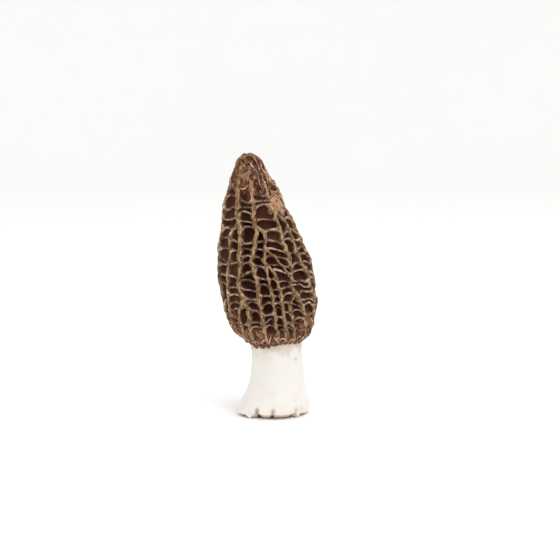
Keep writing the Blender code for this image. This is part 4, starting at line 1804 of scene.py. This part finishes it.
@dataclass
class Stem:
    """The cream stem: waisted, folded lengthwise, hollow, and cut off raggedly at its foot.

    lip_knots are (angle, height) places of the cut edge, and nicks the angle, strength and half width of each
    tear in it. dimple is the height, spread and depth of the dent above a nick, and hem how far the cut edge
    rolls out. wall_drop is how much lower the wall ends inside, cut_wall the radii between which it is cut,
    and speck the angle and height of a small dark spot. folds are the number of waves round the stem, their
    height as a share of the radius and the angle of a crest.
    """

    line: MiddleLine
    outline: Knots = (
        *((13.4, 0.0), (14.5, 0.9), (14.5, 3.6), (13.3, 8.6), (11.9, 14.0)),
        *((11.1, 20.0), (10.7, 26.5), (11.1, 30.5), (11.2, 32.7)),
    )
    hollow: Knots = ((11.3, 1.0), (9.6, 9.0), (8.3, 18.0), (7.9, 27.0), (8.4, 32.7))
    folds: tuple[tuple[int, float, float], ...] = (
        *((2, 0.022, 20.0), (3, 0.020, 75.0), (5, 0.026, 10.0)),
        *((7, 0.014, 40.0), (13, 0.006, 5.0), (19, 0.004, 60.0)),
    )
    fold_at_top: float = 0.35
    flare: float = 1.2
    flare_height: float = 9.0
    lip_knots: str = (
        "-180/1.2 -165/2.4 -150/0.3 -128/2.2 -110/0.6 -90/0.8 -62/0.9 -50/1.2 -41/0 -35/1.4 -29.5/3.0 "
        "-23/2.1 -12/1.8 -7/2.0 -1.6/2.8 4/2.1 14/1.7 27/1.8 34/2.1 40.3/2.6 44/1.2 47.7/0 51/1.0 54.3/1.8 "
        "60/1.0 84/0.5 100/2.2 118/0.3 135/2.2 150/0.6 165/2.0 180/1.2"
    )
    nicks: tuple[Triple, ...] = (
        *((-165.0, 0.35, 5.0), (-128.0, 0.60, 4.0), (-29.5, 1.0, 3.6), (-1.6, 0.9, 3.2)),
        *((40.3, 0.50, 5.0), (54.3, 0.30, 4.0), (100.0, 0.55, 4.5), (135.0, 0.30, 5.5)),
    )
    lip_height: float = 9.0
    dimple: Triple = (3.7, 1.1, 0.8)
    hem: float = 0.40
    hem_reach: float = 0.8
    wall_drop: float = 2.0
    cut_wall: Pair = (11.5, 13.4)
    speck: Pair = (49.0, 24.5)
    speck_size: float = 0.45
    sides: int = 360
    mesh: MeshMaker = field(default_factory=MeshMaker)

    def cut_edge(self, angle: Array) -> Array:
        """Gives the height of the cut edge at an angle."""
        knots = np.array([[float(part) for part in knot.split("/")] for knot in self.lip_knots.split()])
        place = np.searchsorted(knots[:, 0], angle, side="right").clip(1, len(knots) - 1)
        before, after = knots[place - 1], knots[place]
        share = (angle - before[:, 0]) / (after[:, 0] - before[:, 0])
        return lerp(before[:, 1], after[:, 1], eased(share))

    def nicked(self, angle: Array) -> Array:
        """Gives how close an angle is to a tear of the cut edge, from 0 to 1."""
        return np.max([strength * bell(angle - nick, width) for nick, strength, width in self.nicks], axis=0)

    def dented(self, angle: Array, height: Array) -> Array:
        """Gives how close a place is to the dent above a nick, from 0 to 1."""
        return self.nicked(angle) * bell(height - self.dimple[0], self.dimple[1])

    def near_foot(self, height: float, reach: float) -> float:
        """Gives 1 at the foot, and ever less up to a reach above it, where it is 0."""
        return max(0.0, 1 - height / reach)

    def flared(self, angle: Array) -> Array:
        """Gives how far the foot flares out at an angle, which it does on its left."""
        return self.flare * np.maximum(0.0, -np.sin(np.radians(angle)))

    def outside(self, angle: Array, radius: float, height: float) -> tuple[Array, Array]:
        """Folds the outside of the stem.

        Args:
            angle: degrees round it.
            radius: the outline's radius.
            height: the outline's height.

        Returns:
            The radius and the height at each angle.
        """
        up = height / self.outline[-1][1]
        growth = self.fold_at_top + (1 - self.fold_at_top) * (1 - up) ** 2
        folds = sum(share * np.cos(waves * np.radians(angle - turn)) for waves, share, turn in self.folds)
        flare = self.flared(angle) * self.near_foot(height, self.flare_height)
        lift = self.near_foot(height, self.lip_height) ** 2 * self.cut_edge(angle)
        dent = self.dimple[2] * self.dented(angle, height + lift)
        hem = self.hem * bell(height, self.hem_reach) * (height > 0)
        return radius * (1 + growth * folds * (up < 1)) + flare + hem - dent, height + lift

    def build(self, material: Material) -> Thing:
        """Makes the stem.

        Args:
            material: its finish.

        Returns:
            The piece, which stands for the solid stem.
        """
        angle = np.linspace(-180, 180, self.sides, endpoint=False)
        lip, nick = self.cut_edge(angle), self.nicked(angle)
        inner = np.maximum(lip - self.wall_drop, 0.0)
        rings = []

        def ring(radius: Array, height: Array, torn: Array | float, cut: float, inside: float) -> None:
            """Adds one ring of the stem."""
            points = self.line.placed(angle, radius, height)
            rings.append(self.mesh.add(points, nick=torn, cut=cut, inside=inside))

        for radius, height in smooth_outline(self.outline, 8):
            radii, heights = self.outside(angle, radius, height)
            ring(radii, heights, self.dented(angle, heights), self.near_foot(height, 0.7), 0.0)
        edge, top = self.outline[-1]
        for share in (0.35, 0.7, 1.0):
            ring(lerp(edge, self.hollow[-1][0], share), top, 0.0, 0.0, share)
        for height in np.linspace(31.5, 1.2, 26):
            radii = radius_at(self.hollow, height) - 0.7 * nick * self.near_foot(height, 10)
            lift = self.near_foot(height, self.lip_height) ** 2 * inner
            ring(radii, height + lift, nick * self.near_foot(height, 5), 0.0, 1.0)
        for share, drop in ((0.0, 0.35), (0.2, 0.0), (0.55, 0.0), (0.85, 0.0)):
            radii = lerp(*self.cut_wall, share) + self.flared(angle) * share - 0.5 * nick
            ring(radii, lerp(inner, lip, share) + drop, nick * 0.35, 1.0, 0.3)
        self.mesh.bands(rings, closed=True)
        turn, height = self.speck
        spot = self.line.placed(turn, radius_at(self.outline, height), height)
        away = np.linalg.norm(np.concatenate(self.mesh.points) - spot, axis=1) / MM
        self.mesh.values["speck"] = [bell(away, self.speck_size)]
        sizes = {"Dent size": 7.0, "Dent height": 0.5, "Meal size": 0.8, "Meal height": 0.06}
        tree = GrowthTree("stem_skin_relief", material, sizes)
        body = tree.rough(tree.put("Geometry"), "Dent size", tree.put("Dent height"))
        body = tree.rough(body, "Meal size", tree.put("Meal height"))
        return dressed(tree.baked(self.mesh.made("stem_flesh"), body), "stem")


class Finish:
    """A material in the making: its shader, and the colour that its coats have given it so far."""

    def __init__(self, name: str, base: Colour, roughness: float, specular: float = 0.5) -> None:
        """Makes the material.

        Args:
            name: the material's name.
            base: its first colour.
            roughness: the shader's own roughness.
            specular: the shader's own specular level.
        """
        self.material = bpy.data.materials.new(name)
        self.material.use_nodes = True
        self.graph = Graph(self.material.node_tree)
        self.shader = self.material.node_tree.nodes["Principled BSDF"]
        self.shader.inputs["Roughness"].default_value = roughness
        self.shader.inputs["Specular IOR Level"].default_value = specular
        self.place = self.graph.out("ShaderNodeTexCoord", output="Object")
        self.colour = base

    def value(self, name: str) -> Socket:
        """Gives a surface value of the mesh by its name."""
        return self.graph.out("ShaderNodeAttribute", output="Fac", attribute_name=name)

    def noise(self, size: float, detail: float) -> Socket:
        """Gives a soft random pattern with spots of a size in millimetres."""
        return self.graph.noise(self.place, size, detail)

    def feed(self, name: str, value: Socket) -> None:
        """Feeds one of the shader's inputs."""
        self.graph.tree.links.new(value, self.shader.inputs[name])

    def mixed(self, factor: object, first: object, second: object, blend: str = "MIX") -> Socket:
        """Mixes two colours.

        Args:
            factor: how much of the second.
            first: a colour card entry or an output.
            second: the same.
            blend: Blender's name of the way of mixing.

        Returns:
            The mixed colour.
        """
        colours = [linear(item) if isinstance(item, tuple) else item for item in (first, second)]
        inputs = {0: factor, 6: colours[0], 7: colours[1]}
        return self.graph.out("ShaderNodeMix", inputs, 2, data_type="RGBA", blend_type=blend)

    def coat(self, colour: object, *factors: object) -> None:
        """Lays a coat of a colour over the colour so far, as thick as the product of the factors."""
        self.colour = self.mixed(self.graph.times(*factors), self.colour, colour)

    def ramp(self, factor: object, stops: tuple[tuple[float, Colour], ...]) -> None:
        """Takes the colour from a number.

        Args:
            factor: the number, from 0 to 1.
            stops: places and their colours.
        """
        node = self.graph.add("ShaderNodeValToRGB", {0: factor})
        elements = node.color_ramp.elements
        while len(elements) < len(stops):
            elements.new(0.5)
        for element, (place, colour) in zip(elements, stops):
            element.position = place
            element.color = linear(colour)
        self.colour = node.outputs["Color"]

    def shade(self, darkest: float) -> None:
        """Makes the colour darker and lighter in small spots, at the darkest times a factor."""
        shadow = self.graph.span(self.noise(0.8, 5.0), 0.28, 0.72, darkest, 1.22)
        grey = self.graph.out("ShaderNodeCombineColor", {0: shadow, 1: shadow, 2: shadow})
        self.colour = self.mixed(1.0, self.colour, grey, "MULTIPLY")

    def relief(self, height: object, depth: float, strength: float = 1.0) -> None:
        """Gives the surface a fine relief that isn't in the mesh, with its depth in millimetres."""
        inputs = {"Height": height, "Distance": depth * MM, "Strength": strength}
        self.feed("Normal", self.graph.out("ShaderNodeBump", inputs))

    def done(self) -> Material:
        """Feeds the shader's colour and gives the material."""
        self.feed("Base Color", self.colour)
        return self.material


@dataclass(frozen=True)
class CapSkin:
    """The brown skin of the cap: tan on the crowns, pale on the pits' lips partly as painted highlight, and
    ever darker down into the pits as painted shade.
    """

    crown: Colour = (114, 81, 55)
    # shoulder, wall, deep and floor darken step by step with depth into the pits: painted shade.
    shoulder: Colour = (84, 51, 32)
    wall: Colour = (71, 38, 22)
    deep: Colour = (62, 30, 17)
    floor: Colour = (55, 25, 13)
    olive: Colour = (82, 57, 32)
    # The next two colours are painted light on the upper faces of cross ridges and painted shade beneath
    # them.
    shelf: Colour = (102, 64, 44)
    under: Colour = (36, 12, 6)
    # The near-white lip colours are partly the lips' real paleness and partly painted highlight.
    ridge_lip_and_highlight: Colour = (255, 222, 178)
    cross_lip_and_highlight: Colour = (255, 222, 194)
    tip: Colour = (128, 90, 68)
    rim: Colour = (136, 92, 74)

    def material(self) -> Material:
        """Makes the material."""
        finish = Finish("cap_skin", self.crown, 0.6, 0.10)
        graph, value, up = finish.graph, finish.value, finish.value("up")
        spots, stains = finish.noise(1.6, 4.0), finish.noise(8.0, 3.0)
        depth = graph.plus(value("depth"), graph.span(spots, 0.3, 0.7, -0.06, 0.06))
        # The colour darkens with depth from the crowns down to the pit floors: painted shade in the pits.
        stops = ((0.03, self.crown), (0.11, self.shoulder), (0.27, self.wall), (0.60, self.deep))
        finish.ramp(depth, (*stops, (0.97, self.floor)))
        tone = graph.plus(value("tone"), graph.span(stains, 0.3, 0.7, -0.25, 0.25))
        inner = graph.span(depth, 0.08, 0.25)
        finish.coat(self.olive, graph.span(tone, 0.6, 0.95, 0.0, 0.7), inner)
        finish.coat(self.floor, graph.span(tone, 0.4, 0.1, 0.0, 0.5), inner)
        # Painted light on the upper faces of the cross ridges and painted shade beneath them.
        finish.coat(self.shelf, value("shelf"), 0.6)
        finish.coat(self.under, value("under"), 0.82)
        finish.coat(self.tip, graph.span(up, 0.82, 0.96), graph.span(depth, 0.6, 0.2), 0.7)
        finish.coat(self.rim, graph.span(up, 0.12, 0.0), graph.span(depth, 0.7, 0.25), 0.6)
        # Pale lips along the pit edges: partly real paleness, partly painted highlight on the thin edges.
        worn = graph.span(finish.noise(2.4, 4.0), 0.36, 0.60, 0.12, 1.0)
        lip = graph.math("POWER", graph.math("MAXIMUM", value("lip"), 0.0), 1.55)
        finish.coat(finish.mixed(value("cross"), self.ridge_lip_and_highlight, self.cross_lip_and_highlight), lip, worn)
        finish.shade(0.66)
        finish.feed("Roughness", graph.span(depth, 0.5, 0.95, 0.68, 0.42))
        finish.relief(graph.plus(finish.noise(0.9, 5.0), finish.noise(0.28, 3.0)), 0.30, 0.8)
        return finish.done()


@dataclass(frozen=True)
class WrinkleSkin:
    """The pinkish brown skin of the tip and the rim: pale folds, strand crests pale partly as painted
    highlight, hollows darkened as painted shade, and ochre patches.
    """

    name: str = "wrinkle_skin"
    fold: Colour = (158, 116, 90)
    flank: Colour = (88, 54, 37)
    # The hollow colour is painted shade between the folds.
    hollow: Colour = (44, 20, 11)
    ochre: Colour = (150, 102, 64)
    # The edge colour is partly the strands' real paleness and partly painted highlight.
    edge: Colour = (234, 196, 162)

    def material(self) -> Material:
        """Makes the material."""
        finish = Finish(self.name, self.fold, 0.65, 0.12)
        graph, value = finish.graph, finish.value
        spots, drift = finish.noise(1.2, 4.0), finish.noise(5.0, 2.0)
        fold = graph.plus(value("fold"), graph.span(spots, 0.3, 0.7, -0.22, 0.22))
        # Dark in the hollows between the folds: painted shade.
        finish.ramp(fold, ((0.0, self.hollow), (0.45, self.flank), (0.95, self.fold)))
        finish.coat(self.ochre, graph.span(drift, 0.55, 0.70, 0.0, 0.5))
        finish.coat(self.ochre, value("calm"), 0.75)
        finish.coat(self.flank, graph.span(value("fade"), 0.85, 0.25, 0.0, 0.8))
        # Pale strand crests: partly real paleness, partly painted highlight.
        crest = graph.span(value("strand"), 0.35, 0.85)
        finish.coat(self.edge, crest, graph.span(spots, 0.35, 0.62, 0.30, 0.92))
        finish.shade(0.68)
        finish.relief(graph.plus(finish.noise(0.8, 5.0), finish.noise(0.25, 3.0)), 0.25, 0.8)
        return finish.done()


@dataclass(frozen=True)
class CrustFinish:
    """The dry tan crust of the ridges, pale along its lips partly as painted highlight, and specked dark in
    the middle.
    """

    name: str = "ridge_crust"
    middle: Colour = (126, 92, 58)
    # The lip colour is partly the edges' real paleness and partly painted highlight.
    lip: Colour = (255, 225, 174)
    speck: Colour = (66, 38, 25)
    pink: Colour = (150, 106, 82)
    dark: Colour = (84, 56, 38)

    def material(self) -> Material:
        """Makes the material."""
        finish = Finish(self.name, self.middle, 0.8, 0.15)
        graph = finish.graph
        grain, drift = finish.noise(0.5, 5.0), finish.noise(7.0, 2.0)
        worn = graph.span(finish.noise(2.2, 3.0), 0.38, 0.60)
        # Pale lips: partly real paleness, partly painted highlight.
        lips = graph.times(finish.value("lip"), graph.span(grain, 0.3, 0.6, 0.4, 1.0))
        lips = graph.times(lips, graph.span(worn, 0.0, 1.0, 0.45, 1.0))
        finish.coat(self.lip, lips)
        finish.coat(self.speck, graph.span(grain, 0.52, 0.66), graph.span(lips, 0.9, 0.1, 0.2, 0.8))
        finish.coat(self.pink, graph.span(drift, 0.45, 0.65, 0.0, 0.55))
        finish.coat(self.dark, graph.span(worn, 0.8, 0.0, 0.0, 0.55))
        finish.relief(finish.noise(0.35, 5.0), 0.3, 0.9)
        return finish.done()


@dataclass(frozen=True)
class StemSkin:
    """The cream flesh of the stem, faintly fibrous, tan under the cap as real stain and painted shade, and
    ochre in the tears of its foot as painted shade.
    """

    cream: Colour = (233, 229, 225)
    warm: Colour = (231, 219, 205)
    # The tan under the cap is partly real stain and partly painted shade cast by the cap.
    stain_and_shade_under_cap: Colour = (206, 182, 156)
    # The ochre colour is painted shade in the dents and tears of the foot.
    ochre: Colour = (172, 128, 80)
    cut: Colour = (228, 202, 182)
    inner: Colour = (212, 188, 162)
    speck: Colour = (120, 116, 112)

    def material(self) -> Material:
        """Makes the material."""
        finish = Finish("stem_skin", self.cream, 0.52)
        graph, value = finish.graph, finish.value
        inputs = {"Vector": finish.place, "Scale": (1.0, 1.0, 0.16)}
        fibres = graph.noise(graph.out("ShaderNodeMapping", inputs), 0.9, 4.0)
        stains = finish.noise(7.0, 3.0)
        finish.coat(self.warm, graph.span(stains, 0.45, 0.72, 0.0, 0.5))
        finish.coat(self.warm, graph.span(fibres, 0.5, 0.8, 0.0, 0.3))
        height = graph.out("ShaderNodeSeparateXYZ", {0: finish.place}, "Z")
        near_cap = graph.plus(height, graph.span(stains, 0.3, 0.7, -0.003, 0.003))
        # Tan band just under the cap: partly real stain, partly painted shade.
        finish.coat(self.stain_and_shade_under_cap, graph.span(near_cap, 0.024, 0.034, 0.0, 0.85))
        finish.coat(self.inner, value("inside"))
        finish.coat(self.cut, value("cut"), 0.7)
        # Ochre in the dents and tears of the foot: painted shade.
        finish.coat(self.ochre, value("nick"), graph.span(finish.noise(1.2, 3.0), 0.2, 0.6, 0.5, 1.0))
        finish.coat(self.speck, value("speck"))
        finish.shader.inputs["Subsurface Weight"].default_value = 0.2
        finish.shader.inputs["Subsurface Scale"].default_value = 0.003
        finish.relief(graph.plus(fibres, graph.times(finish.noise(0.35, 3.0), 0.5)), 0.12, 0.5)
        return finish.done()


@dataclass
class Studio:
    """A plain pale sweep, soft white light and the camera, at the photograph's height, all in metres."""

    elevation: float = 8.5
    distance: float = 0.6
    lens: float = 91.8
    target: Triple = (0.0051, 0.0, 0.0569)
    aim: Triple = (0.0, 0.0, 0.06)
    floor_radius: float = 1.2
    bend: float = 0.5
    wall_height: float = 1.5
    facets: int = 96

    def sweep(self) -> None:
        """Makes the floor and the wall all round as one pale bowl."""
        mesh, start, bend = MeshMaker(), self.floor_radius, self.bend
        turn = np.linspace(0, math.tau, self.facets, endpoint=False)
        profile = [(0.25, 0.0), (start, 0.0)]
        for part in np.linspace(0, math.pi / 2, 13)[1:]:
            profile.append((start + bend * math.sin(part), bend - bend * math.cos(part)))
        profile.append((start + bend, self.wall_height))
        rings = []
        for radius, height in profile:
            points = np.stack([radius * np.cos(turn), radius * np.sin(turn), height + 0 * turn], axis=1)
            rings.append(mesh.add(points))
        mesh.bands(rings[::-1])
        mesh.fan(rings[0], mesh.add(np.zeros(3)))
        floor = mesh.made("studio_floor")
        finish = Finish("studio_paper", (253, 253, 252), 0.9, 0.0)
        finish.coat((251, 251, 250), finish.noise(300.0, 2.0))
        floor.data.materials.append(finish.done())
        floor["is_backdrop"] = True

    def light(self, name: str, place: Triple, size: float, power: float) -> None:
        """Adds a soft square light that faces the mushroom.

        Args:
            name: the light's name.
            place: where it hangs, in metres.
            size: the length of its side.
            power: its power in watts.
        """
        lamp = bpy.data.lights.new(name, "AREA")
        lamp.size = size
        lamp.energy = power
        thing = linked(name, lamp)
        thing.location = place
        thing.rotation_euler = (Vector(self.aim) - Vector(place)).to_track_quat("-Z", "Y").to_euler()

    def camera(self) -> None:
        """Places the camera."""
        eye = linked("camera", bpy.data.cameras.new("camera"))
        eye.data.lens = self.lens
        eye.data.sensor_width = 36.0
        eye.data.clip_start = 0.01
        tilt = math.radians(self.elevation)
        away = Vector((0.0, -math.cos(tilt), math.sin(tilt))) * self.distance
        eye.location = Vector(self.target) + away
        eye.rotation_euler = (-away).to_track_quat("-Z", "Y").to_euler()
        bpy.context.scene.camera = eye

    def build(self) -> None:
        """Sets up the whole studio."""
        self.sweep()
        world = bpy.data.worlds.new("studio_air")
        world.use_nodes = True
        air = world.node_tree.nodes["Background"]
        air.inputs["Color"].default_value = (1.0, 1.0, 1.0, 1.0)
        air.inputs["Strength"].default_value = 1.0
        bpy.context.scene.world = world
        bpy.context.scene.view_settings.view_transform = "Standard"
        self.light("key", (0.45, -0.55, 0.65), 0.30, 1.6)
        self.light("fill", (-0.6, -0.5, 0.35), 0.5, 0.3)
        self.light("top", (0.05, -0.1, 0.9), 0.4, 1.6)
        self.camera()


def main() -> None:
    """Builds the mushroom's pieces and the studio, and measures the size of the whole."""
    logging.basicConfig(level=logging.INFO, format="%(name)s: %(message)s")
    line = MiddleLine()
    surface = CrestSurface(line)
    net = RidgeNet(surface)
    LOG.info("laid out %d pits", sum(len(pits) for pits in net.columns))
    CapFlesh(net).build(CapSkin().material())
    crust = RidgeCrust(net).build(CrustFinish().material())
    StrayRidges(surface).build(crust.data.materials[0])
    skin = WrinkleSkin().material()
    # Its hollow colour is painted shade between the folds, as in the plain wrinkle skin.
    pink = WrinkleSkin("pink_wrinkles", fold=(194, 154, 124), flank=(136, 97, 72), hollow=(78, 46, 32))
    pink = pink.material()
    strands = Strands(surface)
    for zone in WRINKLE_ZONES:
        Wrinkles(surface, zone, strands).build(pink if zone.name == "cap_shoulder" else skin)
    # The crumbs are paler than the crust: partly real crumbly flesh, partly painted highlight on the crests.
    crumb = CrustFinish("ridge_crumb", middle=(168, 134, 96), lip=(200, 168, 130), speck=(110, 78, 52))
    Crumbs("ridge_crumbs", 1.1, 0.09, 0.22).build(crust, crumb.material())
    Stem(line).build(StemSkin().material())
    Studio().build()
    boxes = {"cad": CAD_BOX, "visual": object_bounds()}
    {key: [list(corner) for corner in box] for key, box in boxes.items()}


if __name__ == "__main__":
    main()
